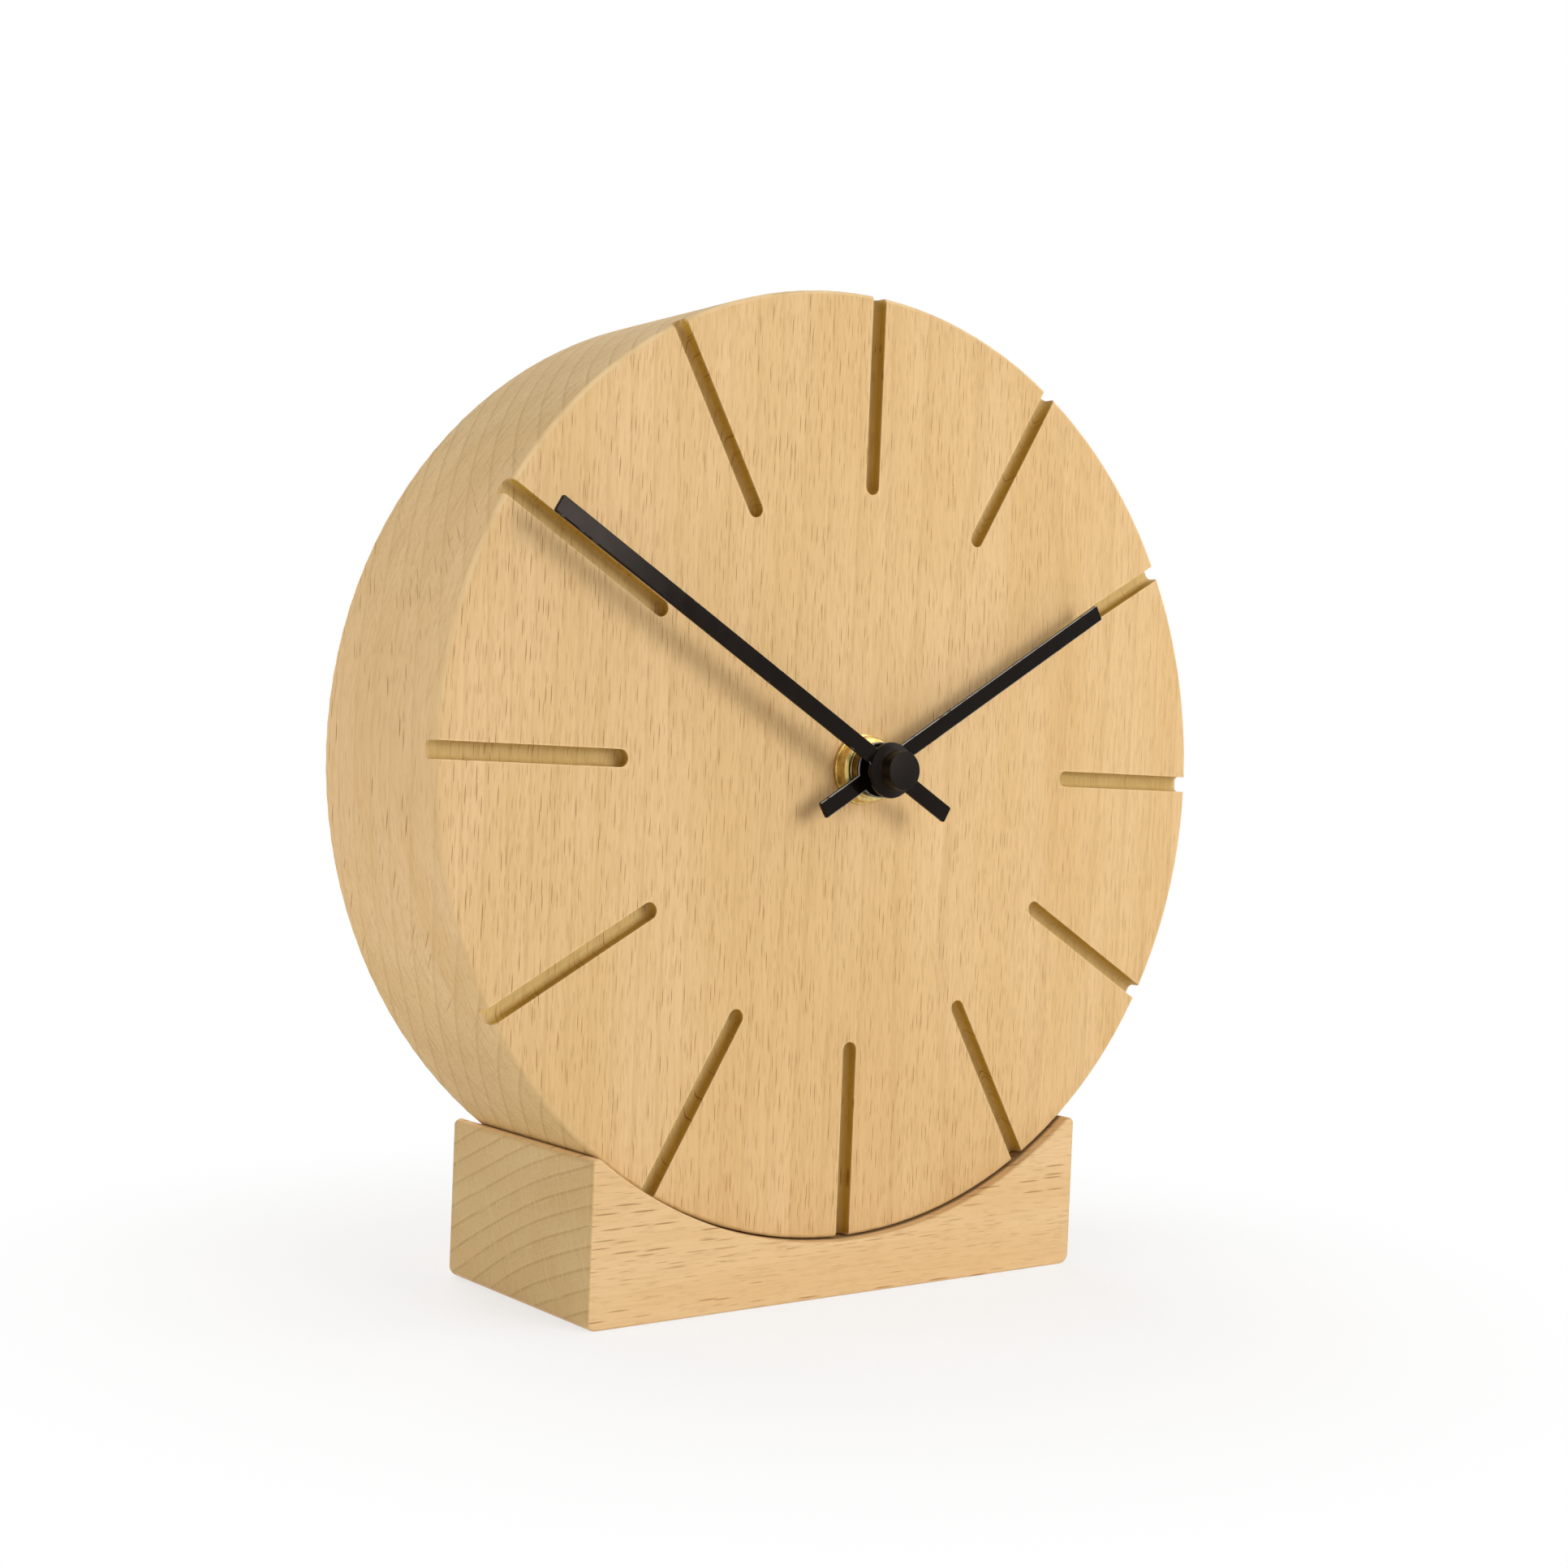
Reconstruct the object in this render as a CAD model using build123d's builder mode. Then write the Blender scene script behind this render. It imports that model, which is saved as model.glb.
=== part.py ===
from build123d import *
import os
from math import acos, cos, hypot, pi, radians, sin, sqrt, tan

os.makedirs("parts", exist_ok=True)

# Desk clock: a thick turned beech disc standing in the cradle of a beech block, with a battery
# quartz movement in a pocket behind the dial. Millimetres. Origin at the centre of the block's
# bottom face, +X to the viewer's right, +Y to the back, +Z up.

# Beech disc
disc_diameter = 170.0
disc_thickness = 40.0
rim_round = 0.8
front_wall = 8.0
pocket_corner_room = 5.6
pocket_mouth_chamfer = 0.6

# Hour grooves, routed into the face and out through the rim
groove_count = 12
groove_width = 3.0
groove_depth = 3.0
groove_floor_round = 0.9
groove_inner_radius = 49.5
groove_overrun = 2.0

# Beech block
base_width = 110.0
base_floor = 10.0
base_front_lip = 2.5
base_back_lip = 5.5
base_bottom_round = 2.0
base_tip_round = 1.2
base_edge_round = 0.5
cradle_gap = 0.2

# Countersunk screws from below that hold the disc in the block
screw_spacing = 36.0
screw_length = 30.0
screw_shank_diameter = 3.5
screw_head_diameter = 7.6
screw_head_angle = 90.0
screw_recess = 0.6
screw_tip_length = 3.0
screw_slot_width = 1.0
screw_slot_length = 4.2
screw_slot_depth = 1.2
screw_hole_room = 0.25
pilot_end_room = 1.0

# Fits
press_gap = 0.02
running_gap = 0.05
end_play = 0.1

# Movement case
movement_corner_round = 3.0
housing_depth = 15.0
housing_floor = 1.6
housing_wall = 1.5
cover_thickness = 1.5
bay_wall = 1.0
bay_room = 0.55
train_room = 1.75
gasket_thickness = 1.0
gasket_diameter = 20.0
pivot_depth = 1.0
post_radius = 1.5

# Threaded bush, washer and nut
bush_diameter = 8.0
bush_hole_room = 0.2
bush_flange_diameter = 11.0
bush_flange_thickness = 0.8
bush_stand = 0.4
washer_diameter = 12.8
washer_thickness = 0.8
washer_edge_round = 0.15
nut_diameter = 12.0
nut_thickness = 2.6
nut_chamfer = 0.35
nut_step_width = 0.9
nut_step_depth = 0.25

# Tubes and arbors on the clock's axis
hour_tube_diameter = 5.1
minute_tube_diameter = 3.5
arbor_diameter = 1.0

# Hands
hand_width = 3.1
hand_thickness = 0.6
hand_hub_diameter = 10.0
hand_corner_round = 0.35
hand_edge_round = 0.18
hand_bush_wall = 1.0
hand_spacing = 0.6
hour_hand_lift = 0.3
hour_hand_bush = 1.6
hour_hand_length = 62.0
hour_hand_tail = 14.6
hour_hand_angle = 58.4
minute_hand_bush = 2.6
minute_hand_length = 80.0
minute_hand_tail = 15.5
minute_hand_angle = -60.3

# Cap over the end of the seconds arbor
cap_diameter = 6.8
cap_skirt_diameter = 8.6
cap_skirt_thickness = 0.4
cap_height = 3.3
cap_lift = 0.3
cap_edge_round = 0.35
cap_socket_depth = 2.2

# Gear train: six layers of wheels behind one another, every offset measured from the clock's axis
wheel_thickness = 0.8
layer_pitch = 1.6
first_layer_room = 0.6
train_offset = 9.0
rotor_offset = 7.2
motion_direction = 0.0
rotor_direction = 150.0
pressure_angle = 20.0
tooth_height = 0.75
tooth_root = 1.1
tooth_share = 0.4
tooth_foot = 0.275
cannon_teeth = 15
motion_teeth = 45
motion_pinion_teeth = 12
hour_teeth = 48
knob_teeth = 15
centre_teeth = 80
third_pinion_teeth = 10
third_teeth = 75
seconds_pinion_teeth = 10
seconds_teeth = 60
intermediate_pinion_teeth = 10
intermediate_teeth = 60
rotor_teeth = 12
motion_post_diameter = 1.4
motion_post_stand = 0.4
minute_tube_stand = 0.4

# Setting knob on the back
knob_diameter = 10.0
knob_thickness = 3.0
knob_lift = 0.3
knob_shaft_diameter = 2.0
knob_journal_diameter = 5.4
knob_journal_length = 2.4
knob_notch_count = 18
knob_notch_radius = 0.5
knob_edge_round = 0.3

# Stepping motor
rotor_magnet_diameter = 4.0
rotor_magnet_length = 3.2
stator_thickness = 1.0
stator_pad_radius = 4.2
stator_air_gap = 0.5
stator_arm_width = 2.6
stator_arm_rise = 0.75
stator_neck_width = 6.0
stator_height = 16.0
stator_side_room = 4.5
stator_top_room = 1.35
stator_layer_gap = 0.2
core_width = 3.0
bobbin_wall = 0.6
bobbin_flange = 7.0
bobbin_flange_thickness = 0.8
bobbin_end_room = 0.3
winding_inset = 0.3
winding_round = 1.5

# Circuit board
board_side_room = 1.0
board_height = 6.0
board_thickness = 0.8
board_back_room = 1.6
board_bay_room = 0.5
board_post_inset = 3.5
crystal_diameter = 2.0
crystal_length = 6.0
crystal_place = 9.0
crystal_lead_diameter = 0.3
crystal_lead_length = 2.0
chip_diameter = 4.0
chip_height = 0.9
chip_place = -8.0

# Battery and its contacts
battery_diameter = 14.5
battery_length = 50.5
battery_nub_length = 1.2
battery_nub_diameter = 5.2
battery_edge_round = 0.8
battery_room = 0.2
battery_end_room = 1.25
contact_thickness = 0.3
contact_width = 5.0
contact_reach = 3.0
contact_tab_length = 3.0
contact_tab_height = 4.0
contact_dimple_diameter = 3.6
contact_dimple_gap = 0.1

# Places worked out from the sizes above
disc_radius = disc_diameter / 2
cradle_radius = disc_radius + cradle_gap
centre_height = base_floor + cradle_radius
base_depth = base_front_lip + disc_thickness + base_back_lip
face_y = -base_depth / 2 + base_front_lip
disc_middle_y = face_y + disc_thickness / 2
movement_front = front_wall + gasket_thickness
movement_inside = movement_front + housing_floor
housing_back = movement_front + housing_depth
cover_back = housing_back + cover_thickness
bush_hole_radius = bush_diameter / 2 + bush_hole_room
arbor_radius = arbor_diameter / 2
arbor_front = movement_inside - pivot_depth + end_play
arbor_back = housing_back + pivot_depth - end_play
clock_axis = Axis((0, 0, centre_height), (0, 1, 0))

# Heights in front of the face
nut_front = washer_thickness + nut_thickness
bush_front = nut_front + bush_stand
hour_hand_front = bush_front + hour_hand_lift + hour_hand_bush
minute_hand_front = hour_hand_front + hand_spacing + minute_hand_bush
cap_back = minute_hand_front + cap_lift
cap_front = cap_back + cap_height


def facing(depth, x=0.0, z=0.0, turn=0.0):
    """Plane square to the clock's axis at a depth behind the face, seen by the viewer.

    Its origin is x to the right of and z above the clock's axis, and turn is clockwise.
    """
    right = (cos(radians(turn)), 0, -sin(radians(turn)))
    return Plane(origin=(x, face_y + depth, centre_height + z), x_dir=right, z_dir=(0, -1, 0))


def place(offset, direction, start=(0.0, 0.0)):
    """Point at an offset from a start, at a direction counted anticlockwise from the right."""
    return (start[0] + offset * cos(radians(direction)), start[1] + offset * sin(radians(direction)))


def module_for(offset, teeth, mate_teeth):
    """Module of two meshing gears whose axes lie an offset apart."""
    return 2 * offset / (teeth + mate_teeth)


def mesh_turn(direction, teeth, mate_teeth, mate_turn):
    """Turn that sets a gear's gap on its mate's tooth, for a mate with a given turn.

    The direction runs from the mate's axis to this gear's axis.
    """
    return direction + 180 - (mate_teeth / teeth) * (mate_turn - direction) - 180 / teeth


def tip_radius(teeth, module):
    return module * (teeth / 2 + tooth_height)


def involute(angle):
    return tan(angle) - angle


def tooth_points(teeth, module):
    """Outline of one involute tooth that points along +X."""
    pitch_radius = teeth * module / 2
    base_radius = pitch_radius * cos(radians(pressure_angle))
    root_radius = pitch_radius - tooth_root * module
    flank_start = max(base_radius, root_radius)
    half_at_pitch = tooth_share * pi / teeth + involute(radians(pressure_angle))

    def half_angle(radius):
        return half_at_pitch - involute(acos(min(1.0, base_radius / radius)))

    radii = [flank_start, (flank_start + pitch_radius) / 2, pitch_radius, tip_radius(teeth, module)]
    flank = [(radius, half_angle(radius)) for radius in radii]
    flank.insert(0, (root_radius - tooth_foot * module, flank[0][1]))
    right_side = [(r * cos(-a), r * sin(-a)) for r, a in flank]
    left_side = [(r * cos(a), r * sin(a)) for r, a in reversed(flank)]
    return right_side + left_side


def toothed_outline(teeth, module, turn):
    """Adds a gear's outline to the sketch in hand, with one tooth at the turn."""
    Circle(teeth * module / 2 - tooth_root * module)
    with PolarLocations(0, teeth, start_angle=turn):
        Polygon(*tooth_points(teeth, module), align=None)


def layer_front(layer):
    return movement_inside + first_layer_room + layer * layer_pitch


def layer_back(layer):
    return layer_front(layer) + wheel_thickness


# Axes, modules and turns of the train
knob_direction = motion_direction
third_direction = motion_direction + 180
intermediate_direction = motion_direction + 90
motion_place = place(train_offset, motion_direction)
third_place = place(train_offset, third_direction)
intermediate_place = place(train_offset, intermediate_direction)
rotor_place = place(rotor_offset, rotor_direction, intermediate_place)
cannon_module = module_for(train_offset, cannon_teeth, motion_teeth)
hour_module = module_for(train_offset, hour_teeth, motion_pinion_teeth)
centre_module = module_for(train_offset, centre_teeth, third_pinion_teeth)
third_module = module_for(train_offset, third_teeth, seconds_pinion_teeth)
seconds_module = module_for(train_offset, seconds_teeth, intermediate_pinion_teeth)
rotor_module = module_for(rotor_offset, rotor_teeth, intermediate_teeth)
knob_offset = cannon_module * (motion_teeth + knob_teeth) / 2
knob_place = place(knob_offset, knob_direction, motion_place)
motion_turn = mesh_turn(motion_direction, motion_teeth, cannon_teeth, motion_direction)
motion_pinion_turn = mesh_turn(motion_direction, motion_pinion_teeth, hour_teeth, motion_direction)
knob_turn = mesh_turn(knob_direction, knob_teeth, motion_teeth, motion_turn)
third_turn = mesh_turn(third_direction, third_teeth, seconds_pinion_teeth, third_direction)
third_pinion_turn = mesh_turn(third_direction, third_pinion_teeth, centre_teeth, third_direction)
intermediate_pinion_turn = mesh_turn(
    intermediate_direction, intermediate_pinion_teeth, seconds_teeth, intermediate_direction
)
rotor_turn = mesh_turn(rotor_direction, rotor_teeth, intermediate_teeth, rotor_direction)

# Places inside the movement, measured from the clock's axis
inside_half = battery_length / 2 + battery_end_room
wheel_bottoms = [
    -tip_radius(centre_teeth, centre_module),
    -tip_radius(seconds_teeth, seconds_module),
    third_place[1] - tip_radius(third_teeth, third_module),
    motion_place[1] - tip_radius(motion_teeth, cannon_module),
]
train_floor = min(wheel_bottoms) - train_room
bay_top = train_floor - bay_wall
bay_height = battery_diameter + 2 * bay_room
bay_bottom = bay_top - bay_height
battery_depth = movement_inside + battery_room + battery_diameter / 2
battery_z = (bay_bottom + bay_top) / 2
board_back = housing_back - board_back_room
board_front = board_back - board_thickness
board_z = train_floor + board_bay_room + board_height / 2
board_width = 2 * (inside_half - board_side_room)
board_post_x = board_width / 2 - board_post_inset
stator_back = layer_back(3) + stator_layer_gap
stator_front = stator_back - stator_thickness
stator_bottom = rotor_place[1] - stator_pad_radius + stator_arm_rise
stator_top = stator_bottom + stator_height
stator_reach = inside_half - stator_side_room
core_x = -stator_reach + core_width / 2
core_middle_depth = stator_back + stator_thickness / 2
bobbin_bottom = stator_bottom + stator_arm_width + bobbin_end_room
bobbin_top = stator_top - stator_arm_width - bobbin_end_room
inside_top = stator_top + stator_top_room

# Outside of the movement, and the pocket that clears its corners
movement_width = 2 * (inside_half + housing_wall)
movement_top = inside_top + housing_wall
movement_bottom = bay_bottom - housing_wall
movement_height = movement_top - movement_bottom
movement_middle = (movement_top + movement_bottom) / 2
corner_x = movement_width / 2 - movement_corner_round
corner_z = max(movement_top, -movement_bottom) - movement_corner_round
pocket_radius = hypot(corner_x, corner_z) + movement_corner_round + pocket_corner_room

# Beech disc with its grooves, movement pocket and screw pilots
groove_run = disc_radius + groove_overrun - groove_inner_radius + groove_width / 2

with BuildPart() as groove_cutter:
    with BuildSketch(facing(groove_depth)):
        with Locations((0, groove_inner_radius + groove_run / 2)):
            SlotOverall(groove_run, groove_width, rotation=90)
    extrude(amount=groove_depth + groove_overrun)
    fillet(groove_cutter.faces().sort_by(Axis.Y)[-1].edges(), groove_floor_round)

groove_cutters = [
    groove_cutter.part.rotate(clock_axis, 360 / groove_count * index) for index in range(groove_count)
]
screw_tip_z = screw_recess + screw_length
screw_head_slope = tan(radians(screw_head_angle / 2))
screw_head_height = (screw_head_diameter - screw_shank_diameter) / 2 / screw_head_slope

with BuildPart() as clock_disc:
    with BuildSketch(facing(disc_thickness)):
        Circle(disc_radius)
    extrude(amount=disc_thickness)
    fillet(clock_disc.edges().filter_by(GeomType.CIRCLE), rim_round)
    with BuildSketch(facing(disc_thickness)):
        Circle(pocket_radius)
    extrude(amount=disc_thickness - front_wall, mode=Mode.SUBTRACT)
    back_circles = clock_disc.edges().filter_by(GeomType.CIRCLE).group_by(Axis.Y)[-1]
    pocket_mouth = back_circles.sort_by(SortBy.RADIUS)[0]
    chamfer(pocket_mouth, pocket_mouth_chamfer)
    with BuildSketch(facing(front_wall)):
        Circle(bush_hole_radius)
    extrude(amount=front_wall, mode=Mode.SUBTRACT)
    add(groove_cutters, mode=Mode.SUBTRACT)
    with BuildSketch(Plane.XY):
        with Locations((-screw_spacing / 2, disc_middle_y), (screw_spacing / 2, disc_middle_y)):
            Circle(screw_shank_diameter / 2 + press_gap)
    extrude(amount=screw_tip_z + pilot_end_room, mode=Mode.SUBTRACT)

clock_disc.part.label = "clock_disc"
export_step(clock_disc.part, "parts/clock_disc.step")

# Beech block with its round cradle and countersunk screw holes
tip_height = centre_height - sqrt(cradle_radius**2 - (base_width / 2) ** 2)

with BuildPart() as base_block:
    with BuildSketch(Plane.XZ.offset(-base_depth / 2)) as base_profile:
        with BuildLine():
            Polyline(
                (-base_width / 2, tip_height),
                (-base_width / 2, 0),
                (base_width / 2, 0),
                (base_width / 2, tip_height),
            )
            ThreePointArc((base_width / 2, tip_height), (0, base_floor), (-base_width / 2, tip_height))
        make_face()
        fillet(base_profile.vertices().group_by(Axis.Y)[0], base_bottom_round)
        fillet(base_profile.vertices().group_by(Axis.Y)[-1], base_tip_round)
    extrude(amount=base_depth)
    front_and_back = base_block.faces().filter_by(Axis.Y)
    fillet(front_and_back.edges(), base_edge_round)
    with Locations((-screw_spacing / 2, disc_middle_y, 0), (screw_spacing / 2, disc_middle_y, 0)):
        with Locations(Rotation(180, 0, 0)):
            CounterSinkHole(
                screw_shank_diameter / 2 + screw_hole_room,
                screw_head_diameter / 2 + screw_recess * screw_head_slope + screw_hole_room,
                counter_sink_angle=screw_head_angle,
            )

base_block.part.label = "base_block"
export_step(base_block.part, "parts/base_block.step")

# Two countersunk screws
with BuildPart() as screw_blank:
    with BuildSketch(Plane.XZ):
        with BuildLine():
            Polyline(
                (0, screw_recess),
                (screw_head_diameter / 2, screw_recess),
                (screw_shank_diameter / 2, screw_recess + screw_head_height),
                (screw_shank_diameter / 2, screw_tip_z - screw_tip_length),
                (0, screw_tip_z),
                close=True,
            )
        make_face()
    revolve(axis=Axis.Z)
    with BuildSketch(Plane.XY.offset(screw_recess)):
        Rectangle(screw_slot_length, screw_slot_width)
        Rectangle(screw_slot_width, screw_slot_length)
    extrude(amount=screw_slot_depth, mode=Mode.SUBTRACT)

with BuildPart() as base_screws:
    with Locations((-screw_spacing / 2, disc_middle_y), (screw_spacing / 2, disc_middle_y)):
        add(screw_blank.part)

base_screws.part.label = "base_screws"
export_step(base_screws.part, "parts/base_screws.step")

# Rubber gasket between the pocket's floor and the movement
with BuildPart() as gasket:
    with BuildSketch(facing(movement_front)):
        Circle(gasket_diameter / 2)
        Circle(bush_hole_radius, mode=Mode.SUBTRACT)
    extrude(amount=gasket_thickness)

gasket.part.label = "gasket"
export_step(gasket.part, "parts/gasket.step")

# Brass washer on the dial
with BuildPart() as face_washer:
    with BuildSketch(facing(0)):
        Circle(washer_diameter / 2)
        Circle(bush_hole_radius, mode=Mode.SUBTRACT)
    extrude(amount=washer_thickness)
    washer_rim = face_washer.edges().group_by(Axis.Y)[0].sort_by(SortBy.RADIUS)[-1]
    fillet(washer_rim, washer_edge_round)

face_washer.part.label = "face_washer"
export_step(face_washer.part, "parts/face_washer.step")

# Round brass nut with a turned step on its front
with BuildPart() as shaft_nut:
    with BuildSketch(facing(-washer_thickness)):
        Circle(nut_diameter / 2)
        Circle(bush_diameter / 2 + press_gap, mode=Mode.SUBTRACT)
    extrude(amount=nut_thickness)
    nut_rims = shaft_nut.edges().filter_by(GeomType.CIRCLE).sort_by(SortBy.RADIUS)[-2:]
    chamfer(nut_rims, nut_chamfer)
    with BuildSketch(facing(-nut_front)):
        Circle(bush_diameter / 2 + nut_step_width)
        Circle(bush_diameter / 2, mode=Mode.SUBTRACT)
    extrude(amount=-nut_step_depth, mode=Mode.SUBTRACT)

shaft_nut.part.label = "shaft_nut"
export_step(shaft_nut.part, "parts/shaft_nut.step")

# Threaded brass bush that carries the movement through the dial
bush_bore_radius = hour_tube_diameter / 2 + running_gap

with BuildPart() as threaded_bush:
    with BuildSketch(facing(movement_inside)):
        Circle(bush_diameter / 2)
    extrude(amount=movement_inside + bush_front)
    with BuildSketch(facing(movement_inside)):
        Circle(bush_flange_diameter / 2)
    extrude(amount=bush_flange_thickness)
    with BuildSketch(facing(movement_inside)):
        Circle(bush_bore_radius)
    extrude(amount=movement_inside + bush_front, mode=Mode.SUBTRACT)

threaded_bush.part.label = "threaded_bush"
export_step(threaded_bush.part, "parts/threaded_bush.step")

# Movement housing: a square tray with the train's space above the battery bay
stator_posts = [
    (core_x, stator_bottom + stator_arm_width / 2),
    (core_x, stator_top - stator_arm_width / 2),
    (rotor_place[0], stator_top - stator_arm_width / 2),
]
board_posts = [(-board_post_x, board_z), (board_post_x, board_z)]
pivot_places = [third_place, intermediate_place, rotor_place]
contact_slot = contact_thickness + 2 * end_play
contact_slot_x = inside_half - contact_slot / 2
contact_slot_top = train_floor + housing_wall
contact_slot_z = (bay_top + contact_slot_top) / 2

with BuildPart() as movement_housing:
    with BuildSketch(facing(housing_back)):
        with Locations((0, movement_middle)):
            RectangleRounded(movement_width, movement_height, movement_corner_round)
    extrude(amount=housing_depth)
    with BuildSketch(facing(housing_back)):
        with Locations((0, (train_floor + inside_top) / 2)):
            RectangleRounded(2 * inside_half, inside_top - train_floor, housing_wall)
        with Locations((0, battery_z)):
            Rectangle(2 * inside_half, bay_height)
        with Locations((-contact_slot_x, contact_slot_z), (contact_slot_x, contact_slot_z)):
            Rectangle(contact_slot, contact_slot_top - bay_top)
    extrude(amount=housing_depth - housing_floor, mode=Mode.SUBTRACT)
    with BuildSketch(facing(stator_front)):
        with Locations(*stator_posts):
            Circle(post_radius)
    extrude(until=Until.NEXT)
    with BuildSketch(facing(board_front)):
        with Locations(*board_posts):
            Circle(post_radius)
    extrude(until=Until.NEXT)
    with BuildSketch(facing(layer_back(1) + motion_post_stand)):
        with Locations(motion_place):
            Circle(motion_post_diameter / 2)
    extrude(until=Until.NEXT)
    with BuildSketch(facing(movement_inside)):
        with Locations(*pivot_places):
            Circle(arbor_radius + running_gap)
        with Locations(knob_place):
            Circle(knob_shaft_diameter / 2 + running_gap)
    extrude(amount=pivot_depth, mode=Mode.SUBTRACT)
    with BuildSketch(facing(movement_inside)):
        Circle(bush_flange_diameter / 2 + press_gap)
    extrude(amount=bush_flange_thickness, mode=Mode.SUBTRACT)
    with BuildSketch(facing(movement_inside)):
        Circle(bush_diameter / 2 + press_gap)
    extrude(amount=housing_floor, mode=Mode.SUBTRACT)

movement_housing.part.label = "movement_housing"
export_step(movement_housing.part, "parts/movement_housing.step")

# Rear cover over the train, with the rear pivots and the knob's hole
with BuildPart() as movement_cover:
    with BuildSketch(facing(cover_back)):
        with Locations((0, movement_middle)):
            RectangleRounded(movement_width, movement_height, movement_corner_round)
        with Locations((0, (bay_top + movement_bottom) / 2)):
            Rectangle(movement_width, bay_top - movement_bottom, mode=Mode.SUBTRACT)
    extrude(amount=cover_thickness)
    with BuildSketch(facing(housing_back)):
        with Locations((0, 0), *pivot_places):
            Circle(arbor_radius + running_gap)
    extrude(amount=-pivot_depth, mode=Mode.SUBTRACT)
    with BuildSketch(facing(housing_back)):
        with Locations(knob_place):
            Circle(knob_journal_diameter / 2 + running_gap)
    extrude(amount=-cover_thickness, mode=Mode.SUBTRACT)

movement_cover.part.label = "movement_cover"
export_step(movement_cover.part, "parts/movement_cover.step")

# Hour wheel on its tube
with BuildPart() as hour_wheel:
    with BuildSketch(facing(layer_back(0))):
        toothed_outline(hour_teeth, hour_module, motion_direction)
    extrude(amount=wheel_thickness)
    with BuildSketch(facing(layer_back(0))):
        Circle(hour_tube_diameter / 2)
    extrude(amount=layer_back(0) + hour_hand_front)
    with BuildSketch(facing(layer_back(0))):
        Circle(minute_tube_diameter / 2 + running_gap)
    extrude(amount=layer_back(0) + hour_hand_front, mode=Mode.SUBTRACT)

hour_wheel.part.label = "hour_wheel"
export_step(hour_wheel.part, "parts/hour_wheel.step")

# Motion wheel and pinion on the housing's post
with BuildPart() as motion_wheel:
    with BuildSketch(facing(layer_back(1), *motion_place)):
        toothed_outline(motion_teeth, cannon_module, motion_turn)
    extrude(amount=wheel_thickness)
    with BuildSketch(facing(layer_front(1), *motion_place)):
        toothed_outline(motion_pinion_teeth, hour_module, motion_pinion_turn)
    extrude(amount=layer_pitch)
    with BuildSketch(facing(layer_back(1), *motion_place)):
        Circle(motion_post_diameter / 2 + running_gap)
    extrude(amount=wheel_thickness + layer_pitch, mode=Mode.SUBTRACT)

motion_wheel.part.label = "motion_wheel"
export_step(motion_wheel.part, "parts/motion_wheel.step")

# Minute tube with the cannon pinion
minute_tube_back = layer_back(2) + minute_tube_stand

with BuildPart() as minute_tube:
    with BuildSketch(facing(minute_tube_back)):
        Circle(minute_tube_diameter / 2)
    extrude(amount=minute_tube_back + minute_hand_front)
    with BuildSketch(facing(layer_back(1))):
        toothed_outline(cannon_teeth, cannon_module, motion_direction)
    extrude(amount=wheel_thickness)
    with BuildSketch(facing(minute_tube_back)):
        Circle(arbor_radius + running_gap)
    extrude(amount=minute_tube_back + minute_hand_front, mode=Mode.SUBTRACT)

minute_tube.part.label = "minute_tube"
export_step(minute_tube.part, "parts/minute_tube.step")

# Centre wheel, which slips on the minute tube when the hands are set
with BuildPart() as centre_wheel:
    with BuildSketch(facing(layer_back(2))):
        toothed_outline(centre_teeth, centre_module, third_direction)
        Circle(minute_tube_diameter / 2 + running_gap, mode=Mode.SUBTRACT)
    extrude(amount=wheel_thickness)

centre_wheel.part.label = "centre_wheel"
export_step(centre_wheel.part, "parts/centre_wheel.step")

# Third wheel and pinion
with BuildPart() as third_wheel:
    with BuildSketch(facing(layer_back(3), *third_place)):
        toothed_outline(third_teeth, third_module, third_turn)
    extrude(amount=wheel_thickness)
    with BuildSketch(facing(layer_front(3), *third_place)):
        toothed_outline(third_pinion_teeth, centre_module, third_pinion_turn)
    extrude(amount=layer_pitch)
    with BuildSketch(facing(arbor_back, *third_place)):
        Circle(arbor_radius)
    extrude(amount=arbor_back - arbor_front)

third_wheel.part.label = "third_wheel"
export_step(third_wheel.part, "parts/third_wheel.step")

# Seconds wheel and pinion on the arbor that runs out to the front cap
seconds_arbor_front = cap_back + cap_socket_depth - end_play

with BuildPart() as seconds_wheel:
    with BuildSketch(facing(layer_back(4))):
        toothed_outline(seconds_teeth, seconds_module, intermediate_direction)
    extrude(amount=wheel_thickness)
    with BuildSketch(facing(layer_front(4))):
        toothed_outline(seconds_pinion_teeth, third_module, third_direction)
    extrude(amount=layer_pitch)
    with BuildSketch(facing(arbor_back)):
        Circle(arbor_radius)
    extrude(amount=arbor_back + seconds_arbor_front)

seconds_wheel.part.label = "seconds_wheel"
export_step(seconds_wheel.part, "parts/seconds_wheel.step")

# Intermediate wheel and pinion
with BuildPart() as intermediate_wheel:
    with BuildSketch(facing(layer_back(5), *intermediate_place)):
        toothed_outline(intermediate_teeth, rotor_module, rotor_direction)
    extrude(amount=wheel_thickness)
    with BuildSketch(facing(layer_front(5), *intermediate_place)):
        toothed_outline(intermediate_pinion_teeth, seconds_module, intermediate_pinion_turn)
    extrude(amount=layer_pitch)
    with BuildSketch(facing(arbor_back, *intermediate_place)):
        Circle(arbor_radius)
    extrude(amount=arbor_back - arbor_front)

intermediate_wheel.part.label = "intermediate_wheel"
export_step(intermediate_wheel.part, "parts/intermediate_wheel.step")

# Rotor: magnet in the stator's hole, and the pinion behind it
rotor_magnet_back = (stator_front + stator_back + rotor_magnet_length) / 2

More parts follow.
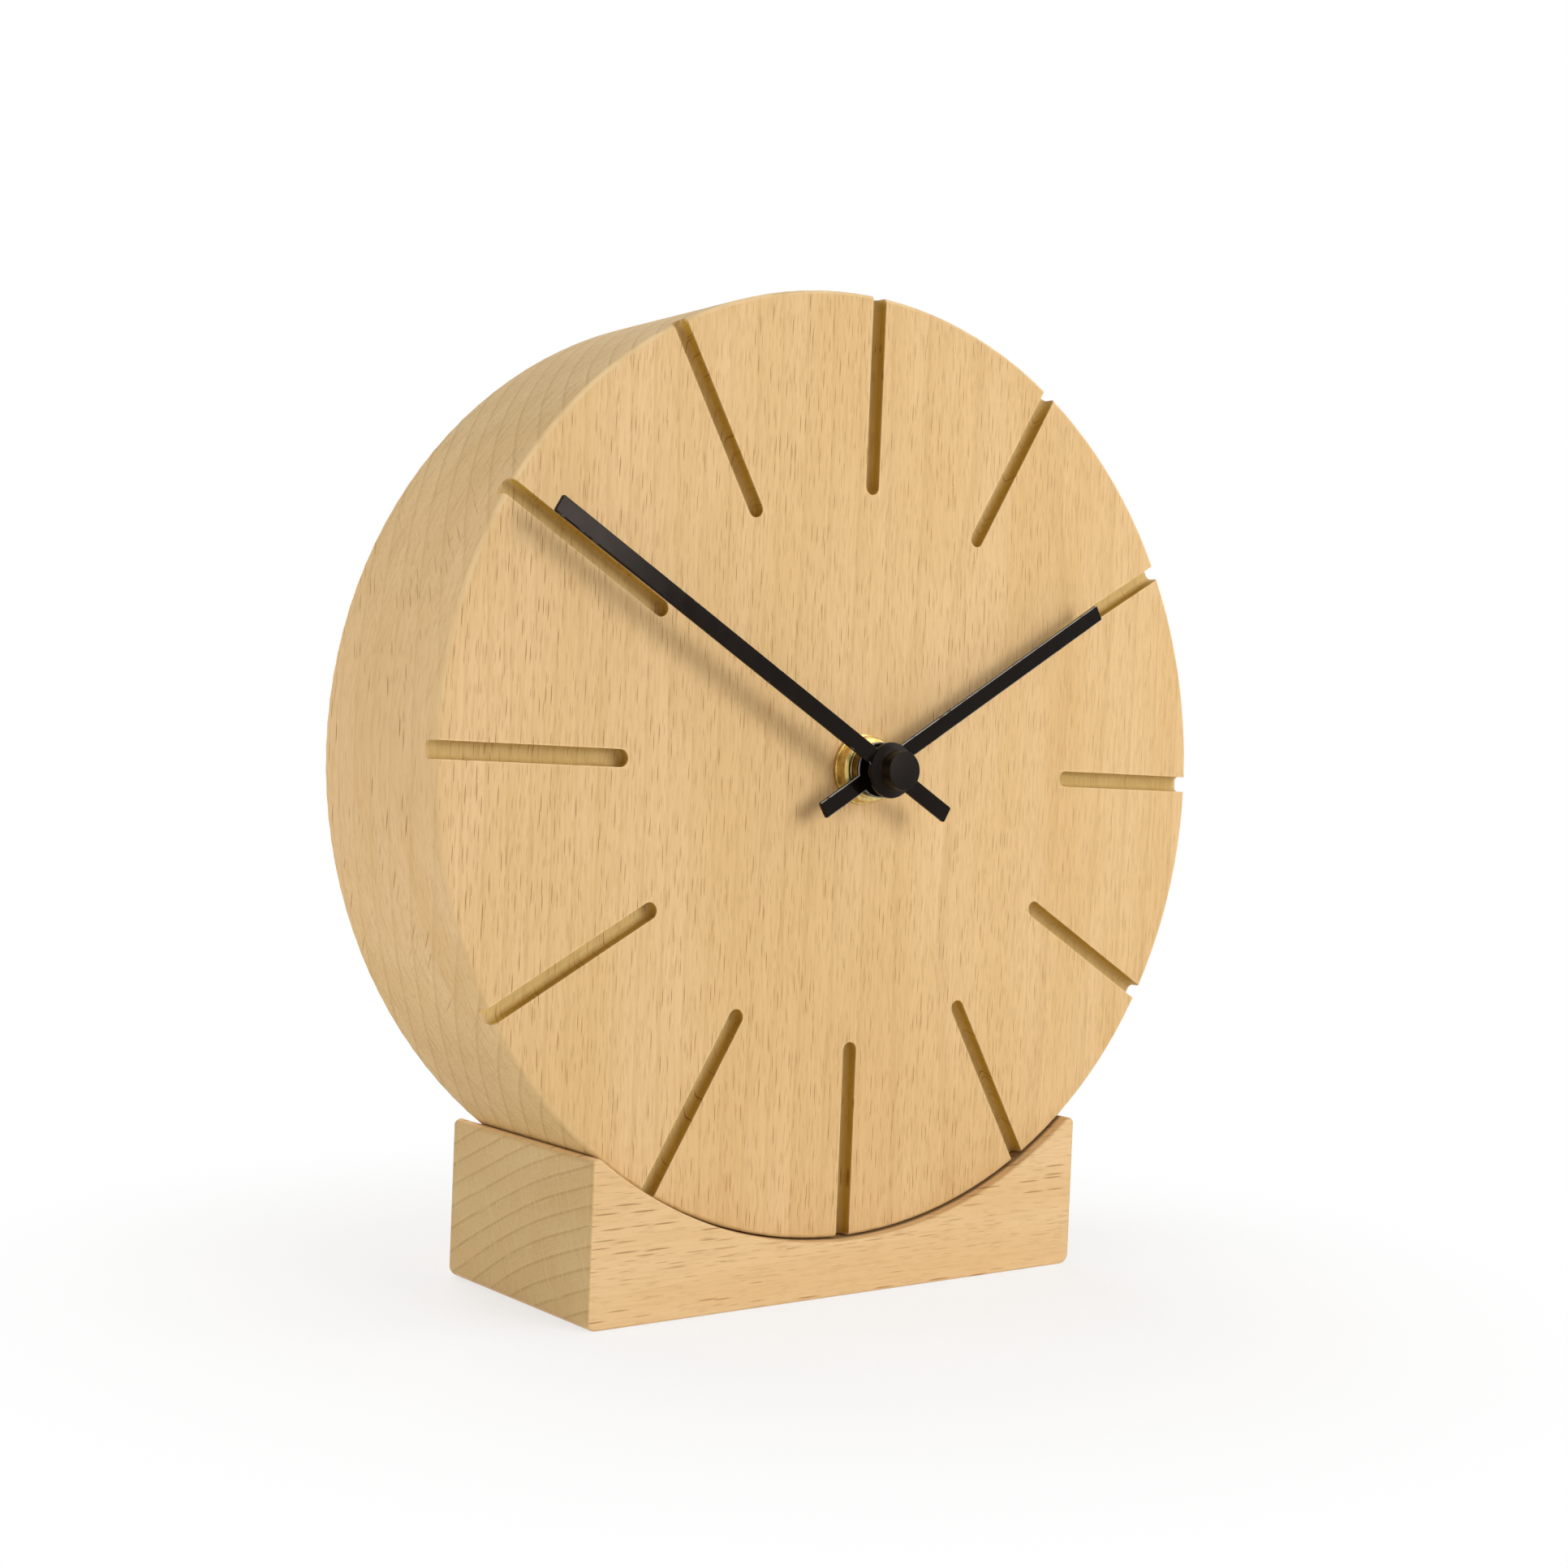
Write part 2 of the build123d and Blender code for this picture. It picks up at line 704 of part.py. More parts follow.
with BuildPart() as rotor:
    with BuildSketch(facing(layer_back(5), *rotor_place)):
        toothed_outline(rotor_teeth, rotor_module, rotor_turn)
    extrude(amount=wheel_thickness)
    with BuildSketch(facing(rotor_magnet_back, *rotor_place)):
        Circle(rotor_magnet_diameter / 2)
    extrude(amount=rotor_magnet_length)
    with BuildSketch(facing(arbor_back, *rotor_place)):
        Circle(arbor_radius)
    extrude(amount=arbor_back - arbor_front)

rotor.part.label = "rotor"
export_step(rotor.part, "parts/rotor.step")

# Stator: an open frame of soft iron round the rotor
stator_middle_x = (rotor_place[0] - stator_reach) / 2
lower_arm_z = stator_bottom + stator_arm_width / 2
upper_arm_z = stator_top - stator_arm_width / 2

with BuildPart() as stator:
    with BuildSketch(facing(stator_back)):
        with Locations(rotor_place):
            Circle(stator_pad_radius)
        with Locations((stator_middle_x, lower_arm_z)):
            Rectangle(stator_reach + rotor_place[0], stator_arm_width)
        with Locations((stator_middle_x + stator_neck_width / 4, upper_arm_z)):
            Rectangle(stator_reach + rotor_place[0] + stator_neck_width / 2, stator_arm_width)
        with Locations((rotor_place[0], (rotor_place[1] + stator_top) / 2)):
            Rectangle(stator_neck_width, stator_top - rotor_place[1])
        with Locations(rotor_place):
            Circle(rotor_magnet_diameter / 2 + stator_air_gap, mode=Mode.SUBTRACT)
    extrude(amount=stator_thickness)

stator.part.label = "stator"
export_step(stator.part, "parts/stator.step")

# Coil core, bobbin and winding across the stator's arms
core_back = stator_back + stator_thickness

with BuildPart() as coil_core:
    with BuildSketch(facing(core_back, core_x, (stator_bottom + stator_top) / 2)):
        Rectangle(core_width, stator_height)
    extrude(amount=stator_thickness)

coil_core.part.label = "coil_core"
export_step(coil_core.part, "parts/coil_core.step")

coil_plane = Plane(
    origin=(core_x, face_y + core_middle_depth, centre_height + bobbin_bottom),
    x_dir=(1, 0, 0),
    z_dir=(0, 0, 1),
)
bobbin_length = bobbin_top - bobbin_bottom
bobbin_hole = (core_width + 2 * press_gap, stator_thickness + 2 * press_gap)
bobbin_tube = (bobbin_hole[0] + 2 * bobbin_wall, bobbin_hole[1] + 2 * bobbin_wall)
winding_side = bobbin_flange - 2 * winding_inset

with BuildPart() as coil_bobbin:
    with BuildSketch(coil_plane):
        Rectangle(*bobbin_tube)
    extrude(amount=bobbin_length)
    with BuildSketch(coil_plane, coil_plane.offset(bobbin_length - bobbin_flange_thickness)):
        RectangleRounded(bobbin_flange, bobbin_flange, bobbin_wall)
    extrude(amount=bobbin_flange_thickness)
    with BuildSketch(coil_plane):
        Rectangle(*bobbin_hole)
    extrude(amount=bobbin_length, mode=Mode.SUBTRACT)

coil_bobbin.part.label = "coil_bobbin"
export_step(coil_bobbin.part, "parts/coil_bobbin.step")

with BuildPart() as coil_winding:
    with BuildSketch(coil_plane.offset(bobbin_flange_thickness)):
        RectangleRounded(winding_side, winding_side, winding_round)
        Rectangle(*bobbin_tube, mode=Mode.SUBTRACT)
    extrude(amount=bobbin_length - 2 * bobbin_flange_thickness)

coil_winding.part.label = "coil_winding"
export_step(coil_winding.part, "parts/coil_winding.step")

# Circuit board with the quartz crystal and the chip's resin drop
with BuildPart() as circuit_board:
    with BuildSketch(facing(board_back, 0, board_z)):
        Rectangle(board_width, board_height)
    extrude(amount=board_thickness)

circuit_board.part.label = "circuit_board"
export_step(circuit_board.part, "parts/circuit_board.step")

crystal_depth = board_front - crystal_diameter / 2

with BuildPart() as quartz_crystal:
    with BuildSketch(Plane.YZ.offset(crystal_place)):
        with Locations((face_y + crystal_depth, centre_height + board_z)):
            Circle(crystal_diameter / 2)
    extrude(amount=crystal_length)
    with BuildSketch(Plane.YZ.offset(crystal_place)):
        with GridLocations(0, crystal_diameter / 2, 1, 2):
            with Locations((face_y + crystal_depth, centre_height + board_z)):
                Circle(crystal_lead_diameter / 2)
    extrude(amount=-crystal_lead_length)

quartz_crystal.part.label = "quartz_crystal"
export_step(quartz_crystal.part, "parts/quartz_crystal.step")

with BuildPart() as control_chip:
    with BuildSketch(facing(board_front, chip_place, board_z)):
        Circle(chip_diameter / 2)
    extrude(amount=chip_height)
    fillet(control_chip.edges().group_by(Axis.Y)[0], chip_height / 2)

control_chip.part.label = "control_chip"
export_step(control_chip.part, "parts/control_chip.step")

# Round cell lying in the bay, its nub to the viewer's right
with BuildPart() as battery:
    with BuildSketch(Plane.YZ.offset(-battery_length / 2)):
        with Locations((face_y + battery_depth, centre_height + battery_z)):
            Circle(battery_diameter / 2)
    extrude(amount=battery_length - battery_nub_length)
    fillet(battery.edges().filter_by(GeomType.CIRCLE), battery_edge_round)
    with BuildSketch(battery.faces().sort_by(Axis.X)[-1]):
        Circle(battery_nub_diameter / 2)
    extrude(amount=battery_nub_length)

battery.part.label = "battery"
export_step(battery.part, "parts/battery.step")

# Leaf contacts at both ends of the bay, each with a dimple and a tab on the board
contact_inner = inside_half - end_play - contact_thickness
contact_low = battery_z - contact_reach
contact_high = board_z + contact_tab_height / 2
contact_front = battery_depth - contact_width / 2
tab_back = board_back + contact_thickness
dimple_length = contact_inner - battery_length / 2 - contact_dimple_gap


def contact_leaf(side):
    """Adds the leaf on one side of the bay to the part in hand.

    The side is 1 at the right and -1 at the left.
    """
    leaf_plane = Plane.YZ.offset(side * contact_inner)
    with BuildSketch(leaf_plane) as leaf:
        with Locations((face_y + battery_depth, centre_height + (contact_low + contact_high) / 2)):
            Rectangle(contact_width, contact_high - contact_low)
        with Locations((face_y + (contact_front + tab_back) / 2, centre_height + board_z)):
            Rectangle(tab_back - contact_front, contact_tab_height)
    with BuildSketch(leaf_plane) as dimple:
        with Locations((face_y + battery_depth, centre_height + battery_z)):
            Circle(contact_dimple_diameter / 2)
    with BuildSketch(facing(tab_back, side * (contact_inner - contact_tab_length / 2), board_z)) as tab:
        Rectangle(contact_tab_length, contact_tab_height)
    extrude(leaf.sketch, amount=side * contact_thickness)
    extrude(dimple.sketch, amount=-side * dimple_length)
    extrude(tab.sketch, amount=contact_thickness)


with BuildPart() as battery_contact_positive:
    contact_leaf(1)

battery_contact_positive.part.label = "battery_contact_positive"
export_step(battery_contact_positive.part, "parts/battery_contact_positive.step")

with BuildPart() as battery_contact_negative:
    contact_leaf(-1)

battery_contact_negative.part.label = "battery_contact_negative"
export_step(battery_contact_negative.part, "parts/battery_contact_negative.step")

# Setting knob: head, journal in the cover, shaft, and pinion on the motion wheel
knob_back = cover_back + knob_lift + knob_thickness
knob_shaft_front = movement_inside - pivot_depth + end_play

with BuildPart() as setting_knob:
    with BuildSketch(facing(knob_back, *knob_place)):
        Circle(knob_diameter / 2)
        with PolarLocations(knob_diameter / 2, knob_notch_count):
            Circle(knob_notch_radius, mode=Mode.SUBTRACT)
    extrude(amount=knob_thickness)
    fillet(setting_knob.faces().sort_by(Axis.Y)[-1].edges(), knob_edge_round)
    with BuildSketch(facing(cover_back + knob_lift, *knob_place)):
        Circle(knob_journal_diameter / 2)
    extrude(amount=knob_journal_length)
    with BuildSketch(facing(cover_back, *knob_place)):
        Circle(knob_shaft_diameter / 2)
    extrude(amount=cover_back - knob_shaft_front)
    with BuildSketch(facing(layer_back(1), *knob_place)):
        toothed_outline(knob_teeth, cannon_module, knob_turn)
    extrude(amount=wheel_thickness)

setting_knob.part.label = "setting_knob"
export_step(setting_knob.part, "parts/setting_knob.step")


def hand_outline(length, tail):
    """Adds a bar hand with its round hub to the sketch in hand, pointing up."""
    with Locations((0, (length - tail) / 2)):
        RectangleRounded(hand_width, length + tail, hand_corner_round)
    Circle(hand_hub_diameter / 2)


# Hour hand pressed on the hour tube
with BuildPart() as hour_hand:
    with BuildSketch(facing(hand_thickness - hour_hand_front, turn=hour_hand_angle)):
        hand_outline(hour_hand_length, hour_hand_tail)
    extrude(amount=hand_thickness)
    fillet(hour_hand.faces().sort_by(Axis.Y)[0].edges(), hand_edge_round)
    with BuildSketch(facing(hour_hand_bush - hour_hand_front)):
        Circle(hour_tube_diameter / 2 + hand_bush_wall)
    extrude(amount=hour_hand_bush - hand_thickness / 2)
    with BuildSketch(facing(hour_hand_bush - hour_hand_front)):
        Circle(hour_tube_diameter / 2 + press_gap)
    extrude(amount=hour_hand_bush, mode=Mode.SUBTRACT)

hour_hand.part.label = "hour_hand"
export_step(hour_hand.part, "parts/hour_hand.step")

# Minute hand pressed on the minute tube
with BuildPart() as minute_hand:
    with BuildSketch(facing(hand_thickness - minute_hand_front, turn=minute_hand_angle)):
        hand_outline(minute_hand_length, minute_hand_tail)
    extrude(amount=hand_thickness)
    fillet(minute_hand.faces().sort_by(Axis.Y)[0].edges(), hand_edge_round)
    with BuildSketch(facing(minute_hand_bush - minute_hand_front)):
        Circle(minute_tube_diameter / 2 + hand_bush_wall)
    extrude(amount=minute_hand_bush - hand_thickness / 2)
    with BuildSketch(facing(minute_hand_bush - minute_hand_front)):
        Circle(minute_tube_diameter / 2 + press_gap)
    extrude(amount=minute_hand_bush, mode=Mode.SUBTRACT)

minute_hand.part.label = "minute_hand"
export_step(minute_hand.part, "parts/minute_hand.step")

# Black cap on the end of the seconds arbor, with a flared skirt over the minute hand's hub
cap_radius = cap_diameter / 2
cap_flare = (cap_skirt_diameter - cap_diameter) / 2
flare_middle = cap_flare * (1 - sqrt(0.5))
cap_plane = Plane(origin=(0, face_y - cap_back, centre_height), x_dir=(1, 0, 0), z_dir=(0, 0, 1))

with BuildPart() as centre_cap:
    with BuildSketch(facing(-cap_back)):
        Circle(cap_skirt_diameter / 2)
    extrude(amount=cap_height)
    with BuildSketch(cap_plane):
        with BuildLine():
            Polyline(
                (cap_radius, -cap_skirt_thickness - cap_flare),
                (cap_radius, -cap_height),
                (cap_skirt_diameter, -cap_height),
                (cap_skirt_diameter, -cap_skirt_thickness),
                (cap_radius + cap_flare, -cap_skirt_thickness),
            )
            ThreePointArc(
                (cap_radius + cap_flare, -cap_skirt_thickness),
                (cap_radius + flare_middle, -cap_skirt_thickness - flare_middle),
                (cap_radius, -cap_skirt_thickness - cap_flare),
            )
        make_face()
    revolve(axis=clock_axis, mode=Mode.SUBTRACT)
    fillet(centre_cap.edges().group_by(Axis.Y)[0], cap_edge_round)
    with BuildSketch(facing(-cap_back)):
        Circle(arbor_radius + press_gap)
    extrude(amount=cap_socket_depth, mode=Mode.SUBTRACT)

centre_cap.part.label = "centre_cap"
export_step(centre_cap.part, "parts/centre_cap.step")
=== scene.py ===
import math

import bmesh
import bpy
from mathutils import Matrix, Vector


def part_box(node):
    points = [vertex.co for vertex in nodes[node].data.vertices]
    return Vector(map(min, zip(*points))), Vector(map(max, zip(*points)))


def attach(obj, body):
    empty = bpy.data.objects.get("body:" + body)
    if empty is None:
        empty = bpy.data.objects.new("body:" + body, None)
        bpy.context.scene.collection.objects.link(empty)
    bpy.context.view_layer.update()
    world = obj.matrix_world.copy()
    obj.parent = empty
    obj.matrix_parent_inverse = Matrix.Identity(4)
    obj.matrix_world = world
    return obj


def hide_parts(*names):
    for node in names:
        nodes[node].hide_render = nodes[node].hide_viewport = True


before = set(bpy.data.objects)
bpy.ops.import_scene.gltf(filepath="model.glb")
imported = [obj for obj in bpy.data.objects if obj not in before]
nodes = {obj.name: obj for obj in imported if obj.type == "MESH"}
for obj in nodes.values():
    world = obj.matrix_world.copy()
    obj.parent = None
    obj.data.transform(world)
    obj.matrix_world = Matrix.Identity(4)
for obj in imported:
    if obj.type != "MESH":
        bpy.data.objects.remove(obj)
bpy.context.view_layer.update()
mm = 0.001
print("frame loaded,", len(nodes), "nodes")

# places that the frame gives; the disc's radius and half thickness in mm, for the materials
discLow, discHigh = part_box("clock_disc")
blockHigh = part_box("base_block")[1]
discCentre = (discLow + discHigh) / 2
dialCentre = Vector((discCentre.x, discLow.y, discCentre.z))
shaftLine = (dialCentre.x, 0, dialCentre.z)
discRadius = (discHigh.x - discLow.x) / 2 / mm
discHalf = (discHigh.y - discLow.y) / 2 / mm


def tint(red, green, blue):  # a colour as a painter reads it, 0 to 255, made linear
    def linear(level):
        level /= 255
        return level / 12.92 if level <= 0.04045 else ((level + 0.055) / 1.055) ** 2.4
    return (linear(red), linear(green), linear(blue), 1.0)


class Wire:  # one value in a node tree; sums on it add Math nodes
    def __init__(self, finish, socket):
        self.finish = finish
        self.socket = socket

    def at(self, name):  # another output of the same node
        return Wire(self.finish, self.socket.node.outputs[name])

    def maths(self, operation, *values):
        return self.finish.add("ShaderNodeMath", {"operation": operation}, dict(enumerate(values)))

    def __add__(self, other):
        return self.maths("ADD", self, other)

    def __sub__(self, other):
        return self.maths("SUBTRACT", self, other)

    def __rsub__(self, other):
        return self.maths("SUBTRACT", other, self)

    def __mul__(self, other):
        return self.maths("MULTIPLY", self, other)

    def __truediv__(self, other):
        return self.maths("DIVIDE", self, other)

    def __pow__(self, other):
        return self.maths("POWER", self, other)

    def __abs__(self):
        return self.maths("ABSOLUTE", self)

    __radd__ = __add__

    def fraction(self):
        return self.maths("FRACT", self)

    def sine(self):
        return self.maths("SINE", self)

    def angle(self, other):  # angle whose tangent is this over the other
        return self.maths("ARCTAN2", self, other)

    def most(self, other):
        return self.maths("MAXIMUM", self, other)

    def rise(self, start, end):  # 0 at start, 1 at end, smooth between
        return self.finish.add("ShaderNodeMapRange", {"interpolation_type": "SMOOTHSTEP"},
                               {"Value": self, "From Min": start, "From Max": end})

    def fall(self, start, end):  # 1 at start, 0 at end
        return 1 - self.rise(start, end)

    def band(self, up, down):  # 1 between a rise and a fall
        return self.rise(*up) * self.fall(*down)


class Finish:  # a material or the world, built node by node
    def __init__(self, name, owner=None):
        self.material = owner or bpy.data.materials.new(name)
        self.material.use_nodes = True
        self.tree = self.material.node_tree
        self.tree.nodes.clear()

    def add(self, kind, settings={}, values={}, output=0):
        node = self.tree.nodes.new(kind)
        for key, value in settings.items():
            setattr(node, key, value)
        for key, value in values.items():
            if isinstance(value, Wire):
                self.tree.links.new(value.socket, node.inputs[key])
            else:
                node.inputs[key].default_value = value
        return Wire(self, node.outputs[output]) if node.outputs else node

    def place(self, centre=(0, 0, 0), turn=(0, 0, 0)):  # Object coordinates in mm from a centre
        coords = self.add("ShaderNodeTexCoord", output="Object")
        return self.add("ShaderNodeMapping", {"vector_type": "TEXTURE"},
                        {"Vector": coords, "Location": centre, "Rotation": turn, "Scale": (mm, mm, mm)})

    def axes(self, vector):
        split = self.add("ShaderNodeSeparateXYZ", {}, {0: vector})
        return split.at("X"), split.at("Y"), split.at("Z")

    def vector(self, x, y, z):
        return self.add("ShaderNodeCombineXYZ", {}, {0: x, 1: y, 2: z})

    def vectors(self, operation, first, second):
        return self.add("ShaderNodeVectorMath", {"operation": operation}, {0: first, 1: second})

    def noise(self, vector, scale=1.0, detail=2.0, roughness=0.5):
        return self.add("ShaderNodeTexNoise", {},
                        {"Vector": vector, "Scale": scale, "Detail": detail, "Roughness": roughness})

    def drawn(self, axes, scales, detail=2.0, roughness=0.5):  # noise with its own scale on each axis
        spread = self.vector(*(axis * scale for axis, scale in zip(axes, scales)))
        return self.noise(spread, 1.0, detail, roughness)

    def mix(self, factor, first, second, blend="MIX"):
        return self.add("ShaderNodeMix", {"data_type": "RGBA", "blend_type": blend},
                        {0: factor, 6: first, 7: second}, 2)

    def stain(self, factor, colour, tone):  # multiply a colour by a tone where the factor says
        return self.mix(factor, colour, self.mix(1.0, colour, tone, "MULTIPLY"))

    def bump(self, height, depth, strength):  # depth in mm
        return self.add("ShaderNodeBump", {}, {"Height": height, "Distance": depth * mm, "Strength": strength})

    def surface(self, colour, roughness, normal, **extra):
        values = {"Base Color": colour, "Roughness": roughness, "Normal": normal}
        values.update({key.replace("_", " "): value for key, value in extra.items()})
        shader = self.add("ShaderNodeBsdfPrincipled", {}, values)
        self.add("ShaderNodeOutputMaterial", {}, {"Surface": shader})
        return self.material


def lengthOf(first, second):  # distance from the centre across two axes
    return (first * first + second * second) ** 0.5


# camera at the photograph's viewing angle
view = {
    "at": (-0.24576, -0.33204, 0.09236), "turn": (88.4993, -2.3667, -39.4150),
    "sensor": 36, "lens": 50.228, "shift": (-0.0745, 0.0383), "clip": (0.01, 50),
}


def addCamera():
    lens = bpy.data.cameras.new("camera")
    lens.sensor_width, lens.lens = view["sensor"], view["lens"]
    lens.shift_x, lens.shift_y = view["shift"]
    lens.clip_start, lens.clip_end = view["clip"]
    camera = bpy.data.objects.new("camera", lens)
    camera.location = view["at"]
    camera.rotation_euler = [math.radians(angle) for angle in view["turn"]]
    bpy.context.scene.collection.objects.link(camera)
    bpy.context.scene.camera = camera


addCamera()
print("camera set")

# lamps: angles from the dial's normal, right and up; share is what each gives a surface facing it
lamps = {
    "key": {"right": 16, "up": 14, "away": 1.2, "size": 0.65, "share": 0.50},
    "front": {"right": 52, "up": 34, "away": 1.4, "size": 1.0, "share": 0.21},
    "left": {"right": -106, "up": 8, "away": 1.3, "size": 1.0, "share": 0.49},
    "top": {"right": 0, "up": 92, "away": 1.3, "size": 1.2, "share": 0.31},
    "back": {"right": 172, "up": 20, "away": 1.4, "size": 1.0, "share": 0.48, "matte": True},
}
white = (1, 1, 1, 1)
sky = {"ambient": 0.11, "seen": 1.0}
floorLook = {
    "size": 8.0, "paper": (0.95, 0.95, 0.95, 1), "fibres": (0.9, 3),
    "lift": 0.68, "clear": (0.05, 0.17),  # share lifted to white near the object, and where all of it is
}


def addLamps():
    for name, lamp in lamps.items():
        right, up = math.radians(lamp["right"]), math.radians(lamp["up"])
        towards = Vector((math.sin(right) * math.cos(up), -math.cos(right) * math.cos(up), math.sin(up)))
        data = bpy.data.lights.new(name, "AREA")
        data.shape, data.size = "DISK", lamp["size"]
        data.energy = lamp["share"] * math.pi * math.pi * lamp["away"] ** 2  # watts for that share
        lampObject = bpy.data.objects.new(name, data)
        lampObject.matrix_world = (Matrix.Translation(dialCentre + towards * lamp["away"])
                                   @ towards.to_track_quat("Z", "Y").to_matrix().to_4x4())
        lampObject.visible_glossy = not lamp.get("matte")  # a matte lamp leaves no glare on the rim
        bpy.context.scene.collection.objects.link(lampObject)


def seenRays(finish):  # rays that show the white studio: straight, mirrored or through glass
    rays = finish.add("ShaderNodeLightPath", output="Is Camera Ray")
    return rays.most(rays.at("Is Glossy Ray")).most(rays.at("Is Transmission Ray"))


def addSky():
    world = bpy.data.worlds.new("sky")
    bpy.context.scene.world = world
    finish = Finish("sky", world)
    level = sky["ambient"] + seenRays(finish) * (sky["seen"] - sky["ambient"])
    background = finish.add("ShaderNodeBackground", {}, {"Color": white, "Strength": level})
    finish.add("ShaderNodeOutputWorld", {}, {"Surface": background})


def addFloor():
    mesh = bmesh.new()
    bmesh.ops.create_grid(mesh, x_segments=2, y_segments=2, size=floorLook["size"] / 2)
    data = bpy.data.meshes.new("studio_floor")
    mesh.to_mesh(data)
    mesh.free()
    floor = bpy.data.objects.new("studio_floor", data)
    bpy.context.scene.collection.objects.link(floor)
    finish = Finish("floor_paper")
    x, y, z = finish.axes(finish.add("ShaderNodeTexCoord", output="Object"))
    clear = lengthOf(x, y).rise(*floorLook["clear"])
    paper = finish.mix(finish.noise(finish.place(), *floorLook["fibres"]), floorLook["paper"], white)
    matte = finish.add("ShaderNodeBsdfPrincipled", {},
                       {"Base Color": paper, "Roughness": 1.0, "Specular IOR Level": 0.0})
    glow = finish.add("ShaderNodeEmission", {}, {"Color": white, "Strength": 1.0})
    share = seenRays(finish) * (floorLook["lift"] + clear * (1 - floorLook["lift"]))
    both = finish.add("ShaderNodeMixShader", {}, {0: share, 1: matte, 2: glow})
    finish.add("ShaderNodeOutputMaterial", {}, {"Surface": both})
    data.materials.append(finish.material)


addLamps()
addSky()
addFloor()
bpy.context.scene.view_settings.view_transform = "Standard"
print("lamps, sky and floor set")

# beech: a solid grain, so each cut face shows its own side of it
beechLook = {
    "ring": tint(190, 146, 88), "fleck": tint(148, 88, 24), "ray": tint(236, 210, 164),
    # the wall and floor tones are painted shade in the grooves; the sanded tone is a painted highlight on the rims
    # and groove edges
    "wallShade": tint(221, 217, 134), "floor": tint(239, 245, 222), "edgeHighlight": tint(250, 218, 165),
    # the seam tone is painted shade where the disc sits in the block
    "seamShade": tint(74, 46, 20), "roughness": 0.52, "roughSpread": 0.2, "specular": 0.2,
    "poreShare": 0.5, "poreDepth": 0.05, "poreStrength": 0.3,
}
# noise of the grain: scales per mm around the pith, away from it and along the trunk, detail, roughness
grainLook = {
    "wander": ((0.02, 0.02, 0.011), 1), "sway": 3.0, "ringSway": 5,
    "fibres": ((2.4, 2.4, 0.11), 3, 0.6), "fibresShow": (0.35, 0.8),
    "streaks": ((1.9, 1.1, 0.24), 2, 0.6), "streaksShow": (0.5, 0.72),
    "broad": ((0.07, 0.12, 0.012), 2), "broadShow": (0.3, 0.7),
    "rays": ((1.5, 0.04, 0.4), 2), "raysShow": (0.035, 0.0), "rayShare": 0.6,
    "ringSlope": 0.3, "ringLine": ((0.78, 0.96), (0.96, 1.0)), "ringLineShare": 0.7,
    "smallShift": (31, 7, 13), "smallShare": 0.6,
}
fleckLook = {"scatter": 0.8, "edge": (1.0, 0.45), "chosen": (0.0, 0.75)}
# places in metres, sizes of the grain in mm: around the pith, away from it, along the trunk
discGrain = {
    "pith": (-0.02, 0.15, discCentre.z), "turn": (0, 0, 0), "reach": 165,
    "ringPith": (0.035, -0.079, discCentre.z), "ringWidth": 3.7,
    "cell": (0.85, 22, 4.5), "half": (0.092, 11, 2.4),
    "smallCell": (0.7, 14, 3.0), "smallHalf": (0.075, 6, 1.4),
    "marks": 0.8, "fibre": 0.24, "ringFace": 0.2, "ringEnd": 0.34, "rays": 0.25,
    "pale": tint(236, 199, 145), "warm": tint(229, 190, 132), "end": tint(236, 238, 228),
}
blockGrain = {
    "pith": (0, -0.096, -0.205), "turn": (0, math.radians(90), 0), "reach": 239,
    "ringPith": (0, -0.096, -0.205), "ringWidth": 3.5,
    "cell": (7, 1.3, 7.0), "half": (2.6, 0.17, 3.4),
    "smallCell": (5, 0.95, 4.4), "smallHalf": (2.0, 0.1, 1.9),
    "marks": 0.64, "fibre": 0.18, "ringFace": 0.05, "ringEnd": 0.5, "rays": 1.0,
    "pale": tint(239, 204, 153), "warm": tint(234, 196, 142), "end": tint(228, 229, 216),
}
# flecks that stay on the rim, by lot, and how bare the end grain and the face's right side are
discMarks = {"rim": (0.5, 0.6), "rimSmall": (0.75, 0.85), "endBare": 0.85, "right": (35, 85), "rightBare": 0.5}
blockEnds = (-0.6, -0.15)  # where end grain starts, from the block's end


def flecksOf(finish, grain, cell, half):  # one ray fleck in each cell of the grain, and its lot
    spread = finish.vectors("DIVIDE", grain, cell)
    seeds = finish.add("ShaderNodeTexVoronoi", {"voronoi_dimensions": "3D", "feature": "F1"},
                       {"Vector": spread, "Scale": 1.0, "Randomness": fleckLook["scatter"]})
    offset = finish.vectors("SUBTRACT", spread, seeds.at("Position"))
    shape = finish.vectors("MULTIPLY", offset, tuple(c / h for c, h in zip(cell, half)))
    reach = finish.add("ShaderNodeVectorMath", {"operation": "LENGTH"}, {0: shape}, "Value")
    pick, lot, unused = finish.axes(seeds.at("Color"))
    return reach.rise(*fleckLook["edge"]) * pick.rise(*fleckLook["chosen"]), lot


